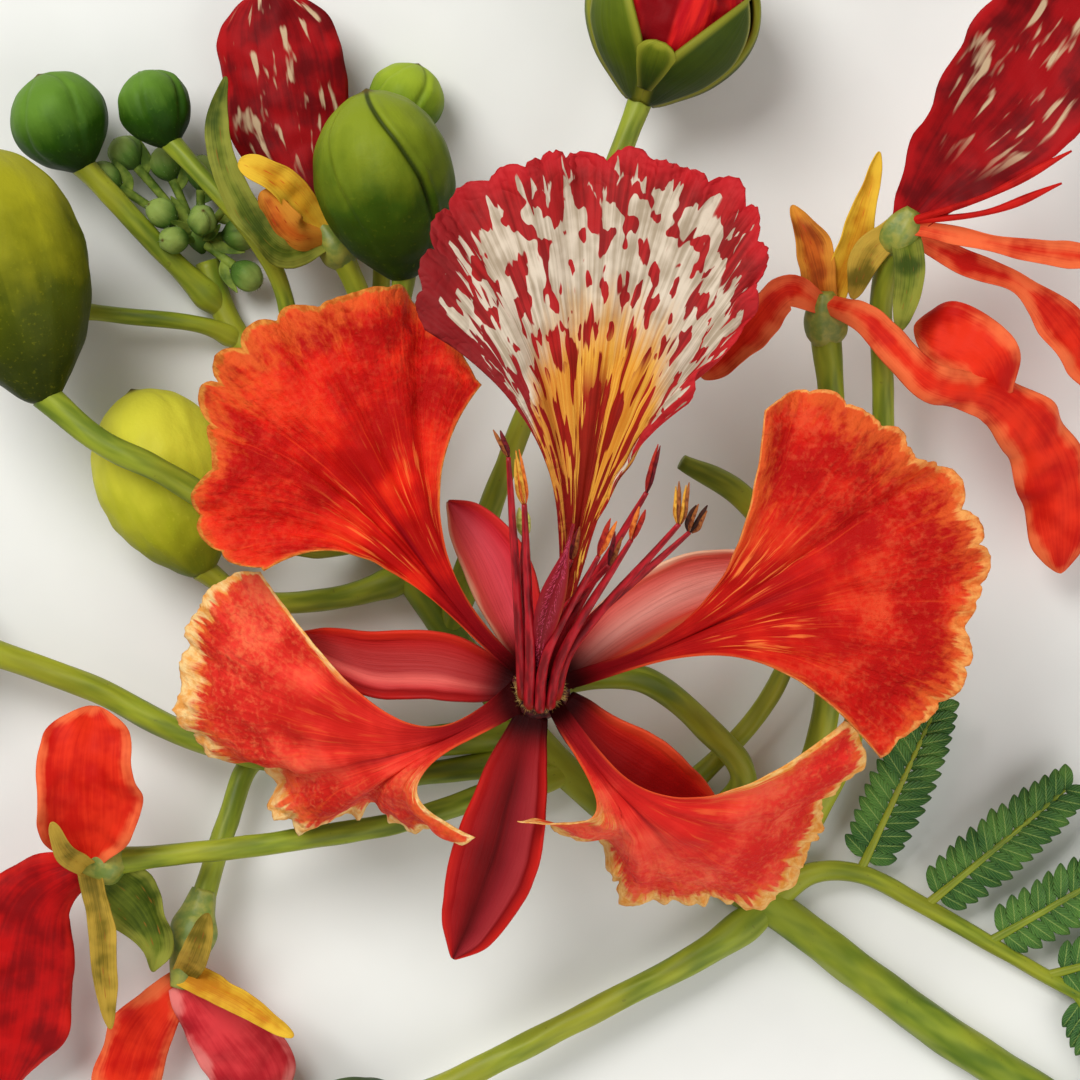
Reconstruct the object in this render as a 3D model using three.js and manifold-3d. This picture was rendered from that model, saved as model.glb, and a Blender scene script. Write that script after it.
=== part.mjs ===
// A cut flowering spray of a flame tree, laid down on its back: one open bloom that faces up, the
// stalk it grows from, buds of all ages, older blooms and one leaf.
// Millimetres, +Z up. The spray lies on z = 0, and x = y = 0 is the middle of its box.
// While it is built, x = y = 0 is under the hub of the open bloom, and +Y runs to the stalk's tip.

import * as THREE from "three";
import { mergeVertices } from "three/addons/utils/BufferGeometryUtils.js";
import Module from "manifold-3d";

const wasm = await Module();
wasm.setup();

// Driving dimensions
const hubHeight = 32; // hub of the open bloom above what the spray lies on
const clearance = 0.3; // gap between two pieces that touch on the real spray
const petalThickness = 0.8;
const sepalThickness = 1.0;
const witheredThickness = 0.8;
const receptacleDepth = 7; // calyx cup behind the hub
const receptacleRadius = 3.9;
const discRadius = 3.0; // hairy disc in the middle, which carries stamens and pistil
const discHeight = 1.2;
const stamenRing = 2.3; // radius of the ring that the ten stamens stand on
const filamentRadius = 0.55;
const pedicelRadius = 1.75; // stalk of one flower
const thinPedicelRadius = 1.4;
const stalkRadiusAtCut = 2.9;
const stalkRadiusAtTip = 1.7;
const openingRadius = 12; // bud that has begun to open
const leafletThickness = 0.7;

// Finishes
function finish(color, roughness) {
  return new THREE.MeshStandardMaterial({ color, roughness, metalness: 0 });
}
const scarlet = finish(0xd93218, 0.55);
const standardFinish = finish(0xc9574a, 0.5);
const crimson = finish(0xb02436, 0.45);
const darkCrimson = finish(0x7d1020, 0.45);
const hubFinish = finish(0xa8843a, 0.8);
const budFinish = finish(0x7f9a30, 0.5);
const stemFinish = finish(0x93a334, 0.5);
const tipFinish = finish(0x6f8f3a, 0.6);
const openingPetalFinish = finish(0xc02020, 0.5);
const witheredFinish = finish(0xd0452a, 0.6);
const leafFinish = finish(0x4c7a33, 0.6);

const spray = new THREE.Group();
const bloom = new THREE.Group();
bloom.position.z = hubHeight;
spray.add(bloom);

function vector(point) {
  return new THREE.Vector3(...point);
}

function add(parent, name, geometry, material) {
  geometry.computeVertexNormals();
  const mesh = new THREE.Mesh(geometry, material);
  mesh.name = name;
  parent.add(mesh);
}

// Value of an evenly spaced list at t from 0 to 1, on straight lines between its numbers
function along(values, t) {
  const place = Math.min(Math.max(t, 0), 1) * (values.length - 1);
  const i = Math.min(Math.floor(place), values.length - 2);
  return THREE.MathUtils.lerp(values[i], values[i + 1], place - i);
}

// Indexed triangles as a geometry, turned inside out where their faces point in
function closedGeometry(points, triangles) {
  let volume = 0;
  for (const [a, b, c] of triangles) {
    volume += points[a].dot(new THREE.Vector3().crossVectors(points[b], points[c]));
  }
  const faces = volume < 0 ? triangles.map(([a, b, c]) => [a, c, b]) : triangles;
  const geometry = new THREE.BufferGeometry().setFromPoints(points);
  geometry.setIndex(faces.flat());
  return geometry;
}

function toSolid(geometry) {
  const plain = geometry.clone();
  plain.deleteAttribute("normal");
  plain.deleteAttribute("uv");
  const merged = mergeVertices(plain, 1e-4);
  return new wasm.Manifold(new wasm.Mesh({
    numProp: 3,
    vertProperties: new Float32Array(merged.attributes.position.array),
    triVerts: new Uint32Array(merged.index.array),
  }));
}

function toGeometry(solid) {
  const mesh = solid.getMesh();
  const geometry = new THREE.BufferGeometry();
  geometry.setAttribute("position", new THREE.BufferAttribute(mesh.vertProperties, mesh.numProp));
  geometry.setIndex(new THREE.BufferAttribute(mesh.triVerts, 1));
  return geometry;
}

// One solid of closed geometries that overlap
function joined(geometries) {
  return geometries.map(toSolid).reduce((sum, solid) => sum.add(solid));
}

// What is left of a solid outside the others, without loose scraps
function clearOf(solid, others) {
  const rest = others.reduce((left, other) => left.subtract(other), solid);
  return rest.decompose().sort((a, b) => b.volume() - a.volume())[0];
}

// A round limb along a smooth path, with its radius read along the path and a flat cut at each end
function limb(path, radii, { sides = 6, rings = 10, swell = 0 } = {}) {
  const curve = new THREE.CatmullRomCurve3(path.map(vector), false, "centripetal");
  const frames = curve.computeFrenetFrames(rings);
  const points = [];
  const triangles = [];
  for (let ring = 0; ring <= rings; ring++) {
    const centre = curve.getPointAt(ring / rings);
    const radius = along(radii, ring / rings) + swell;
    for (let side = 0; side < sides; side++) {
      const angle = (2 * Math.PI * side) / sides;
      const across = frames.normals[ring].clone().multiplyScalar(radius * Math.cos(angle));
      const over = frames.binormals[ring].clone().multiplyScalar(radius * Math.sin(angle));
      points.push(centre.clone().add(across).add(over));
    }
  }
  for (let ring = 0; ring < rings; ring++) {
    for (let side = 0; side < sides; side++) {
      const a = ring * sides + side;
      const b = ring * sides + ((side + 1) % sides);
      triangles.push([a, b, b + sides], [a, b + sides, a + sides]);
    }
  }
  const last = rings * sides;
  for (let side = 1; side < sides - 1; side++) {
    triangles.push([0, side + 1, side], [last, last + side, last + side + 1]);
  }
  return closedGeometry(points, triangles);
}

// A thin sheet of even thickness about surface(u, v), u from 0 at the base to 1, v from -1 to 1
function sheet(surface, rows, columns, thickness) {
  const step = 0.01;
  const points = [];
  for (const side of [1, -1]) {
    for (let row = 0; row <= rows; row++) {
      for (let column = 0; column <= columns; column++) {
        const u = row / rows;
        const v = (2 * column) / columns - 1;
        const back = surface(Math.max(u - step, 0), v);
        const ahead = surface(Math.min(u + step, 1), v);
        const left = surface(u, Math.max(v - step, -1));
        const right = surface(u, Math.min(v + step, 1));
        const normal = ahead.sub(back).cross(right.sub(left)).normalize();
        points.push(surface(u, v).addScaledVector(normal, (side * thickness) / 2));
      }
    }
  }
  const width = columns + 1;
  const under = (rows + 1) * width;
  const triangles = [];
  for (let row = 0; row < rows; row++) {
    for (let column = 0; column < columns; column++) {
      const a = row * width + column;
      const c = a + width + 1;
      triangles.push([a, a + 1, c], [a, c, a + width]);
      triangles.push([under + a, under + c, under + a + 1], [under + a, under + a + width, under + c]);
    }
  }
  const rim = [];
  for (let column = 0; column < columns; column++) rim.push(column);
  for (let row = 0; row < rows; row++) rim.push(row * width + columns);
  for (let column = columns; column > 0; column--) rim.push(rows * width + column);
  for (let row = rows; row > 0; row--) rim.push(row * width);
  rim.forEach((a, i) => {
    const b = rim[(i + 1) % rim.length];
    triangles.push([a, under + a, under + b], [a, under + b, b]);
  });
  return closedGeometry(points, triangles);
}

// A clawed petal: veins fan out from a narrow base, past the claw and the throat, to the margin.
// base, claw and throat are pairs of points, left and right edge, and margin runs from left to right.
function clawedPetal({ base, claw, throat, margin }, rows = 8, columns = 14) {
  const edge = new THREE.CatmullRomCurve3(margin.map(vector), false, "centripetal");
  const across = (pair, share) => vector(pair[0]).lerp(vector(pair[1]), share);
  const surface = (u, v) => {
    const share = (v + 1) / 2;
    const vein = new THREE.CubicBezierCurve3(
      across(base, share), across(claw, share), across(throat, share), edge.getPointAt(share));
    return vein.getPoint(u);
  };
  return sheet(surface, rows, columns, petalThickness);
}

// A strap-like sheet along a spine: half-widths are read along it, and fold lifts both edges.
function strap(spine, halfWidths, { fold = 0, thickness, rows = 6, columns = 2 }) {
  const curve = new THREE.CatmullRomCurve3(spine.map(vector), false, "centripetal");
  const surface = (u, v) => {
    const tangent = curve.getTangentAt(u);
    const side = new THREE.Vector3(0, 0, 1).cross(tangent).normalize();
    const lift = tangent.clone().cross(side);
    const half = along(halfWidths, u);
    return curve.getPointAt(u).addScaledVector(side, half * v).addScaledVector(lift, fold * half * v * v);
  };
  return sheet(surface, rows, columns, thickness);
}

// A bud: an egg that is turned on a lathe, from a narrow flat base to a blunt apex.
// An outline's points are shares of the radius and of the length.
const eggOutline = [[0, 0], [0.17, 0], [0.42, 0.08], [0.74, 0.22], [0.95, 0.4], [1, 0.56], [0.9, 0.74],
  [0.64, 0.89], [0.3, 0.975], [0, 1]];
const smallEggOutline = [[0, 0], [0.5, 0.05], [1, 0.45], [0.7, 0.85], [0, 1]];
function egg(base, apex, radius, outline = eggOutline, segments = 10) {
  const foot = vector(base);
  const axis = vector(apex).sub(foot);
  const profile = outline.map(([r, h]) => new THREE.Vector2(r * radius, h * axis.length()));
  const geometry = new THREE.LatheGeometry(profile, segments);
  const stand = new THREE.Quaternion().setFromUnitVectors(new THREE.Vector3(0, 1, 0), axis.normalize());
  geometry.applyQuaternion(stand);
  geometry.translate(foot.x, foot.y, foot.z);
  return geometry;
}

function lathe(profile, segments) {
  const geometry = new THREE.LatheGeometry(profile.map(([r, h]) => new THREE.Vector2(r, h)), segments);
  geometry.rotateX(Math.PI / 2);
  return geometry;
}

// Main stalk, from its flat cut to the cluster of unopened buds at its tip
const stalkPath = [
  [79, -63.5, 2.9], [50.5, -44.5, 2.8], [31.5, -30.5, 2.7], [16.5, -22, 2.6], [2.5, -11, 2.5],
  [-14, 9, 2.4], [-26, 27.5, 2.2], [-34, 38.5, 2], [-40.5, 46, 1.9], [-43.5, 51.5, 1.8],
  [-45.5, 57.5, 1.7],
];
const stalkRadii = [stalkRadiusAtCut, stalkRadiusAtTip];
const stalkShape = { sides: 8, rings: 18 };
add(spray, "main_stalk", limb(stalkPath, stalkRadii, stalkShape), stemFinish);
const stalkSpace = toSolid(limb(stalkPath, stalkRadii, { ...stalkShape, swell: clearance }));

// A flower's own stalk: it starts at the main stalk's side, with a swollen foot, and ends at a flower.
const footSwell = 1.15;
const neckSwell = 1.1;
const taken = [stalkSpace];
function pedicel(name, path, radius, { rings = 8 } = {}) {
  const radii = [radius * footSwell, radius, radius, radius, radius * neckSwell];
  const solid = clearOf(toSolid(limb(path, radii, { rings })), [stalkSpace]);
  add(spray, name, toGeometry(solid), stemFinish);
  const [beforeEnd, end] = path.slice(-2).map(vector);
  const beyond = end.clone().add(end.clone().sub(beforeEnd).setLength(0.9 * clearance));
  const space = [...path.slice(0, -1), beyond.toArray()];
  taken.push(toSolid(limb(space, radii, { rings, swell: clearance })));
}

// A stalk's path whose end lines up with the flower or bud on it, and stops the clearance short of it
const straightEnd = 2.5;
function upTo(path, flowerTip) {
  const foot = vector(path.at(-1));
  const way = vector(flowerTip).sub(foot).normalize();
  const back = (distance) => foot.clone().addScaledVector(way, -distance).toArray();
  return [...path.slice(0, -1), back(straightEnd), back(clearance)];
}

// Open bloom: hub
const hub = [
  [0, -receptacleDepth], [2, -receptacleDepth], [3, -4.8], [receptacleRadius, -3],
  [receptacleRadius, -1], [discRadius, 0.2], [2.95, discHeight], [0, discHeight],
];
add(bloom, "receptacle", lathe(hub, 12), hubFinish);
const bloomStalk = [
  [17.5, -22.5, 2.6], [24, -18, 4], [27.5, -12.5, 8], [21.5, -5, 13], [13.5, 1, 17], [4, 1, 19.5],
  [0, 0, hubHeight - receptacleDepth],
];
pedicel("bloom_pedicel", upTo(bloomStalk, [0, 0, hubHeight]), pedicelRadius, { rings: 14 });

// Open bloom: four red petals and the standard, seen face on. Points are millimetres from the hub.
const petals = {
  petal_upper_left: {
    base: [[-3, 2, 0.8], [-1.7, 3.1, 0.8]],
    claw: [[-13, 8.5, 6], [-14, 13, 6]],
    throat: [[-21.5, 24.5, 10], [-16.5, 28.5, 10]],
    margin: [
      [-35.5, 15.5, 7], [-41, 17.5, 6], [-44, 21.5, 5], [-44.5, 25.5, 6], [-42, 30.5, 8],
      [-43.5, 37.5, 7], [-40.5, 42.5, 8], [-37, 46, 9], [-32, 49.5, 9], [-25, 51, 8],
      [-18, 52.5, 7], [-15, 50, 4.6], [-11, 44.5, 4.5], [-7.5, 39.5, 5.3],
    ],
  },
  petal_upper_right: {
    base: [[3, 2.5, 0.9], [4, 0, 0.9]],
    claw: [[19.5, 6.5, 5], [17, 3.5, 5]],
    throat: [[26.5, 13, 9], [27, 12, 9]],
    margin: [
      [28.5, 36, 13], [31, 38, 12], [37, 38.5, 11], [42, 35.5, 10], [46.5, 33.5, 9],
      [50, 29.5, 9], [53.5, 28, 8], [55, 23, 7], [57.5, 18, 7], [57.5, 13, 7], [55, 7.5, 6],
      [55.5, 3.5, 6], [52, -2, 5], [47, -6, 4], [44, -8.5, 3],
    ],
  },
  petal_standard: {
    base: [[-0.9, 3.6, 1.2], [1.5, 3.5, 1.2]],
    claw: [[4.5, 14.5, 2], [6.5, 17, 2]],
    throat: [[6.5, 34.5, 7], [6.5, 28.5, 7]],
    margin: [
      [-15, 46.5, 11], [-15.5, 51.5, 12], [-14, 57, 12], [-11.5, 62.5, 11], [-6, 66.5, 10],
      [1.5, 69.5, 9], [7.5, 69, 8], [13, 69.5, 8], [19, 67, 9], [25, 65, 10], [27.5, 60, 11],
      [29, 55, 11], [27.5, 50, 12], [24.5, 44.5, 12], [20.5, 40, 12], [19, 37, 11],
    ],
  },
  petal_lower_right: {
    base: [[3.5, -1.5, 0.9], [1.5, -3.5, 0.9]],
    claw: [[10.5, -13, 8], [6, -12.5, 8]],
    throat: [[19.5, -20.5, 7], [14, -19, 7]],
    margin: [
      [39.5, -4, -2], [42, -6, -4], [42.5, -9, -6], [39.5, -15, -10], [38, -21, -13],
      [34, -25, -15], [29.5, -28, -16], [22.5, -27.5, -17], [16.5, -28.5, -17],
      [12.5, -29.5, -17], [10.5, -24.5, -14], [7.5, -22, -10], [3, -20.5, -5], [0, -17.5, -1],
      [-3, -17, 1],
    ],
  },
  petal_lower_left: {
    base: [[-3.5, -2, 0.9], [-4, 0.5, 0.9]],
    claw: [[-14, -7.5, 7], [-13, -9, 7]],
    throat: [[-23, -12.5, 6], [-20.5, -7.5, 6]],
    margin: [
      [-8.5, -19, 1], [-10.5, -20, 0], [-13, -18.5, -3], [-17, -19.5, -7], [-20, -17, -10],
      [-28.5, -17.5, -14], [-35, -16.5, -15], [-38, -13, -15], [-43.5, -10.5, -15],
      [-46, -7, -14], [-47, -1.5, -12], [-46.5, 6.5, -9], [-43.5, 12.5, -6], [-40, 15, -4],
      [-36.5, 15.5, -2],
    ],
  },
};
for (const [name, shape] of Object.entries(petals)) {
  add(bloom, name, clawedPetal(shape), name === "petal_standard" ? standardFinish : scarlet);
}

// Open bloom: five sepals behind the petals, as spine points and half-widths from the hub outwards
const sepals = {
  sepal_bottom: {
    spine: [[-1.3, -4.1, -1.8], [-3.5, -13, -3], [-6, -22.5, -6], [-9.5, -32, -10], [-11.5, -36, -12]],
    halfWidths: [2, 4.2, 5.6, 4.6, 1.2],
  },
  sepal_left: {
    spine: [[-4.2, 0.8, -1.8], [-13, 3, -2.5], [-22.5, 3.5, -5], [-29, 5.5, -8], [-32, 7, -10]],
    halfWidths: [1.8, 4, 4.4, 3.4, 1],
  },
  sepal_upper_left: {
    spine: [[-1.3, 4.1, -1.8], [-3.5, 10.5, -1], [-6, 17, -1], [-9.5, 22, -2], [-12, 24.5, -3]],
    halfWidths: [1.7, 3.4, 4.2, 3.4, 1],
  },
  sepal_right: {
    spine: [[3.7, 2.2, -1.8], [11.5, 9, -1], [20, 13.5, -2], [28, 15, -4], [33, 14.5, -6]],
    halfWidths: [2, 3.6, 4.2, 3.4, 1],
  },
  sepal_lower_right: {
    spine: [[3.6, -2.3, -1.8], [9, -7.5, -3], [15, -11.5, -6], [21, -15.5, -10], [24, -17.5, -12]],
    halfWidths: [2, 3.8, 4.4, 3.2, 1],
  },
};
for (const [name, { spine, halfWidths }] of Object.entries(sepals)) {
  const form = { fold: 0.25, thickness: sepalThickness, rows: 6, columns: 4 };
  add(bloom, name, strap(spine, halfWidths, form), crimson);
}

// Open bloom: pistil in the middle and ten stamens round it, leaning together towards the standard
const lean = [0.8, 6, 8]; // where the middle of the bundle passes
const gather = { across: 1.5, along: 0.6, stagger: 1 }; // how the ring of stamens opens out there
const footHeight = discHeight + clearance;
add(bloom, "pistil", limb(
  [[0, 0, footHeight], [-0.2, 0.4, 4], [-0.1, 3.3, 6.8], [0.3, 7, 10.6], [1.2, 11, 14.8], [2.6, 15.5, 18.2],
    [4.2, 21.5, 20.5]],
  [0.8, 0.8, 0.85, 0.95, 1.3, 1.5, 1.4, 0.5], { rings: 12 }), crimson);

// The foot of each anther, its tip, and how thick it is: fresh ones are full, withered ones thin.
const anthers = [
  { foot: [8.8, 16.3, 13.8], tip: [10.2, 20.5, 15.4], thickness: 0.6 },
  { foot: [4, 17, 9], tip: [5, 21, 11], thickness: 0.9 },
  { foot: [-2, 20, 11], tip: [-2, 23.5, 12], thickness: 1.1 },
  { foot: [-4, 30, 15], tip: [-5.5, 34, 15], thickness: 0.8 },
  { foot: [-2, 24, 18], tip: [-3, 30.5, 22], thickness: 1.2 },
  { foot: [7.4, 17.5, 17], tip: [9.4, 22.5, 20], thickness: 1 },
  { foot: [11.5, 19.5, 18], tip: [13, 24, 21], thickness: 1 },
  { foot: [17.5, 21.5, 19], tip: [18, 27, 21], thickness: 1.2 },
  { foot: [19, 20.5, 14], tip: [20.5, 24, 15], thickness: 1.1 },
  { foot: [13.5, 25.5, 15], tip: [15, 31.5, 17], thickness: 0.8 },
];
anthers.forEach(({ foot, tip, thickness }, i) => {
  const angle = (2 * Math.PI * (i + 2.5)) / anthers.length;
  const x = stamenRing * Math.cos(angle);
  const y = stamenRing * Math.sin(angle);
  const middle = [
    lean[0] + gather.across * x, lean[1] + gather.along * y, lean[2] - gather.stagger * y,
  ];
  const low = [x, y + 0.5, (lean[2] - gather.stagger * y) / 2];
  const path = [[x, y, footHeight], low, middle, foot, tip];
  const r = filamentRadius;
  const radii = [r, r, r, r, r, r, r, thickness, thickness, 0.4];
  const number = String(i + 1).padStart(2, "0");
  add(bloom, `stamen_${number}`, limb(path, radii, { sides: 5, rings: 9 }), darkCrimson);
});

// Buds with their own stalks: the stalk's points run from the main stalk to the base of the bud.
const buds = {
  a: {
    stalk: [[-21, 21, 2.3], [-20.5, 31.5, 6], [-19.5, 45, 12], [-18, 54.5, 15]],
    apex: [-23, 79, 20], radius: 9.3, stem: thinPedicelRadius,
  },
  b: {
    stalk: [[-24.5, 26, 2.2], [-22, 38.5, 2.6], [-21.5, 57.5, 3.2], [-20, 74, 4.5]],
    apex: [-16.5, 84, 6], radius: 5.2, stem: 1.2,
  },
  c: {
    stalk: [[-43.5, 51, 1.8], [-51, 58.5, 5], [-57, 65, 8], [-61.5, 69.5, 9]],
    apex: [-67.5, 82, 11], radius: 6.6, stem: 1.5,
  },
  d: {
    stalk: [[-33.5, 37.5, 2], [-34.5, 52.5, 9.5], [-37.5, 59, 12], [-45.5, 68.5, 12], [-49.5, 72.5, 11]],
    apex: [-54, 82.5, 10], radius: 4.9, stem: 1.2,
  },
  e: {
    stalk: [[-22, 21.5, 2.3], [-31, 19, 9], [-40, 22.5, 17], [-50, 28.5, 22], [-58, 32.5, 22.5],
      [-65.5, 38, 21.5]],
    apex: [-74.5, 71, 24], radius: 10.8, stem: 1.7,
  },
  f: {
    stalk: [[-17.5, 14.5, 2.3], [-28.5, 11.5, 4], [-39.5, 11.5, 7], [-45.5, 15, 9.6]],
    apex: [-55, 39.5, 9.8], radius: 9.4, stem: 1.5,
  },
  k: {
    stalk: [[-40.5, 46.5, 1.9], [-45.5, 48.6, 4], [-57, 50, 5], [-61.5, 50.5, 4.6]],
    apex: [-71, 52, 4.6], radius: 4.2, stem: 1.1,
  },
  l: {
    stalk: [[-0.5, -6.5, 2.5], [-16.5, -8, 5], [-32.5, -10.5, 7.5], [-47.5, -7, 7.5], [-59.5, -1, 7.5],
      [-73, 4, 8], [-77, 5.5, 8.5]],
    apex: [-98.5, 11.5, 10], radius: 8.5, stem: pedicelRadius,
  },
  m: {
    stalk: [[31.5, -30.5, 2.7], [21.5, -37, 5], [8, -44, 6], [-12, -54, 7], [-16.5, -56, 7]],
    apex: [-36.5, -66, 9], radius: 7.6, stem: pedicelRadius,
  },
};
for (const [letter, { stalk, apex, radius, stem }] of Object.entries(buds)) {
  add(spray, `bud_${letter}`, egg(stalk.at(-1), apex, radius), budFinish);
  pedicel(`bud_${letter}_pedicel`, upTo(stalk, apex), stem);
}

// The bud that has begun to open, at the far end of the longest stalk: wedges part its green sepals
// from the tip down, and the red petals show between them. The widest wedge is on top, where a short
// sepal is left standing in it.
const openingStalk = [[-12.5, 7, 2.4], [-11, 11.5, 5], [-7, 23, 8], [2.5, 48, 11], [11, 72, 12],
  [13.5, 78.5, 12]];
const openingTip = [21.5, 101, 14];
// For each wedge, the share of the bud's length below it, and the half-width it gains per millimetre
const partings = [
  { closed: 0.16, slope: 0.7 }, { closed: 0.35, slope: 0.3 }, { closed: 0.4, slope: 0.2 },
  { closed: 0.4, slope: 0.2 }, { closed: 0.35, slope: 0.3 },
];
const shortSepal = { start: 0.1, top: 0.34, halfWidth: 2.7 }; // start and top are shares of the length
// The wedges with their sides moved in by an inset: each opens upwards, and out from the bud's axis
function partingWedges(inset) {
  const foot = vector(openingStalk.at(-1));
  const axis = vector(openingTip).sub(foot);
  const length = axis.length();
  const stand = new THREE.Quaternion().setFromUnitVectors(new THREE.Vector3(0, 1, 0), axis.normalize());
  const top = length * 1.1;
  const depth = openingRadius * 1.1;
  const place = (geometry) => geometry.applyQuaternion(stand).translate(foot.x, foot.y, foot.z);
  const flat = (outline) => new THREE.ExtrudeGeometry(
    new THREE.Shape(outline.map(([x, y]) => new THREE.Vector2(x, y))), { depth, bevelEnabled: false });
  const wedges = joined(partings.map(({ closed, slope }, i) => {
    const start = length * closed + (inset * Math.hypot(slope, 1)) / slope;
    const half = (top - start) * slope;
    const wedge = flat([[0, start], [half, top], [-half, top]]);
    wedge.translate(0, 0, inset - clearance);
    wedge.rotateY((2 * Math.PI * i) / partings.length);
    return place(wedge);
  }));
  const half = shortSepal.halfWidth + inset;
  const [from, to] = [shortSepal.start * length, shortSepal.top * length + inset];
  const shoulder = to - half;
  const sepal = flat([[half, from], [half, shoulder], [half / 2, to], [-half / 2, to], [-half, shoulder],
    [-half, from]]);
  sepal.translate(0, 0, -inset);
  return wedges.subtract(toSolid(place(sepal)));
}
const openingEgg = (radius) => toSolid(egg(openingStalk.at(-1), openingTip, radius));
add(spray, "opening_bud", toGeometry(openingEgg(openingRadius).subtract(partingWedges(0))), budFinish);
const openingPetals = openingEgg(openingRadius - petalThickness).intersect(partingWedges(clearance));
add(spray, "opening_bud_petals", toGeometry(openingPetals), openingPetalFinish);
pedicel("opening_bud_pedicel", upTo(openingStalk, openingTip), 1.5, { rings: 12 });

// A bare stalk whose flower has dropped
pedicel("bare_pedicel", [[13.5, -20.5, 2.6], [31, -2, 6], [35, 11.5, 8], [27.5, 25, 10], [19, 30, 12]],
  1.3);

// Older blooms. Each is one solid: a cup with its sepals, folded standard and withered petals.
function olderBloom(name, { stalk, top, cup, straps, threads = [], stem = 1.5 }) {
  const foot = vector(stalk.at(-1));
  const axis = vector(top).sub(foot);
  const parts = [limb([foot.toArray(), foot.clone().addScaledVector(axis, 0.5).toArray(), top], cup,
    { sides: 8, rings: 3 })];
  for (const { spine, halfWidths, ...form } of straps) {
    parts.push(strap(spine, halfWidths, { thickness: witheredThickness, ...form }));
  }
  for (const path of threads) {
    parts.push(limb(path, [0.6, 0.5, 0.5], { sides: 4, rings: 4 }));
  }
  pedicel(`${name}_pedicel`, upTo(stalk, top), stem);
  add(spray, name, toGeometry(clearOf(joined(parts), taken)), witheredFinish);
}

olderBloom("side_bloom_left", {
  stalk: [[-29, 32, 2.1], [-25.5, 41, 5], [-24, 50.5, 8.5], [-26, 57, 10.5]],
  top: [-29.5, 62, 12],
  cup: [1.6, 2.4, 2.4, 1.8],
  straps: [
    { spine: [[-28.5, 60.5, 11.6], [-32.5, 71.5, 10.8], [-35, 83, 10.8], [-37.5, 95, 8.5]],
      halfWidths: [1.8, 5, 8.3, 8, 4.5], fold: -0.3, rows: 7, columns: 4 },
    { spine: [[-28.5, 60, 11.6], [-34.5, 58, 15.5], [-41, 66.5, 16.5], [-43, 75.5, 16], [-42, 81.5, 15]],
      halfWidths: [1.6, 1.8, 1.8, 1.5, 0.7] },
    { spine: [[-28.5, 60.5, 11.8], [-34.5, 67, 17], [-40, 70, 18]], halfWidths: [1.2, 2.2, 1.6], rows: 4 },
    { spine: [[-28.5, 60, 11.8], [-33, 60.5, 16.5], [-37, 66, 17.5]], halfWidths: [1.2, 2.4, 1.4], rows: 4 },
    { spine: [[-28, 60.5, 11.4], [-26, 64.5, 7], [-26, 70, 4]], halfWidths: [1.6, 1.9, 0.7], rows: 4 },
  ],
});

olderBloom("side_bloom_right", {
  stalk: [[27.5, -28.1, 2.7], [35.5, -20, 5], [42, -7.5, 7], [46, 17, 9], [46, 38.5, 13], [45.5, 51.5, 17],
    [46.5, 58, 20]],
  top: [49.5, 63, 23],
  cup: [1.7, 2.8, 2.8, 2.2],
  straps: [
    { spine: [[48, 61, 22], [56, 71, 25], [62.5, 78.5, 27], [71, 90.5, 26], [76.5, 97.5, 23]],
      halfWidths: [1.8, 6.5, 9.6, 9.8, 5], fold: 0.35, rows: 7, columns: 4 },
    { spine: [[47, 60.5, 22], [43.5, 57.5, 21.5], [41.5, 51.5, 19]], halfWidths: [1.8, 1.9, 0.7], rows: 4 },
    { spine: [[48, 60.5, 22], [48.8, 54.5, 24], [47.4, 47, 23]], halfWidths: [1.8, 1.9, 0.7], rows: 4 },
    { spine: [[48, 61, 22.5], [55.5, 59.5, 24], [63, 58, 24], [71.5, 57, 22], [77.5, 56.5, 20]],
      halfWidths: [1.1, 1.1, 1.2, 1.6, 1] },
    { spine: [[48, 60.5, 21.5], [56, 56.5, 19], [64, 53.5, 17], [70.5, 47.5, 13], [75.5, 39.5, 9]],
      halfWidths: [1.2, 1.4, 1.6, 3, 2] },
  ],
  threads: [
    [[48.5, 61.5, 23], [58.5, 64.5, 30], [69, 70, 33]],
    [[48.5, 61.5, 23], [59, 62.5, 28.5], [68, 66, 30.5]],
  ],
});

olderBloom("spent_bloom", {
  stalk: [[22.5, -25, 2.7], [30, -20.5, 5], [37, -10, 9], [39.5, 11.5, 12], [39, 38, 14], [38.3, 46, 15]],
  top: [37.8, 52.5, 18],
  cup: [1.7, 2.9, 2.9, 2.2],
  stem: 1.8,
  straps: [
    { spine: [[37.8, 50.5, 17], [36, 58, 18.5], [33.5, 64, 18.5]], halfWidths: [1.8, 2.4, 0.8], rows: 4 },
    { spine: [[38.5, 50.5, 16.5], [42, 60.5, 19], [45, 71, 20]], halfWidths: [1.6, 1.9, 0.7], rows: 4 },
    { spine: [[37, 51, 18], [32.5, 52.5, 22], [26.5, 46, 21], [21.5, 41, 19]],
      halfWidths: [1.4, 2.2, 2.6, 1.2] },
    { spine: [[38, 51, 18.5], [43, 48.5, 25], [51.5, 40, 26], [61, 38, 20], [68.5, 29, 13], [70.5, 15, 7]],
      halfWidths: [1.4, 2.2, 2.6, 4, 5, 3], fold: -0.3, rows: 9, columns: 2 },
    { spine: [[61.5, 38.5, 19.5], [59, 43.5, 22], [54.5, 46.5, 21], [49.8, 48, 18]],
      halfWidths: [1.4, 4.4, 4.6, 1.8], rows: 5 },
  ],
});

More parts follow.
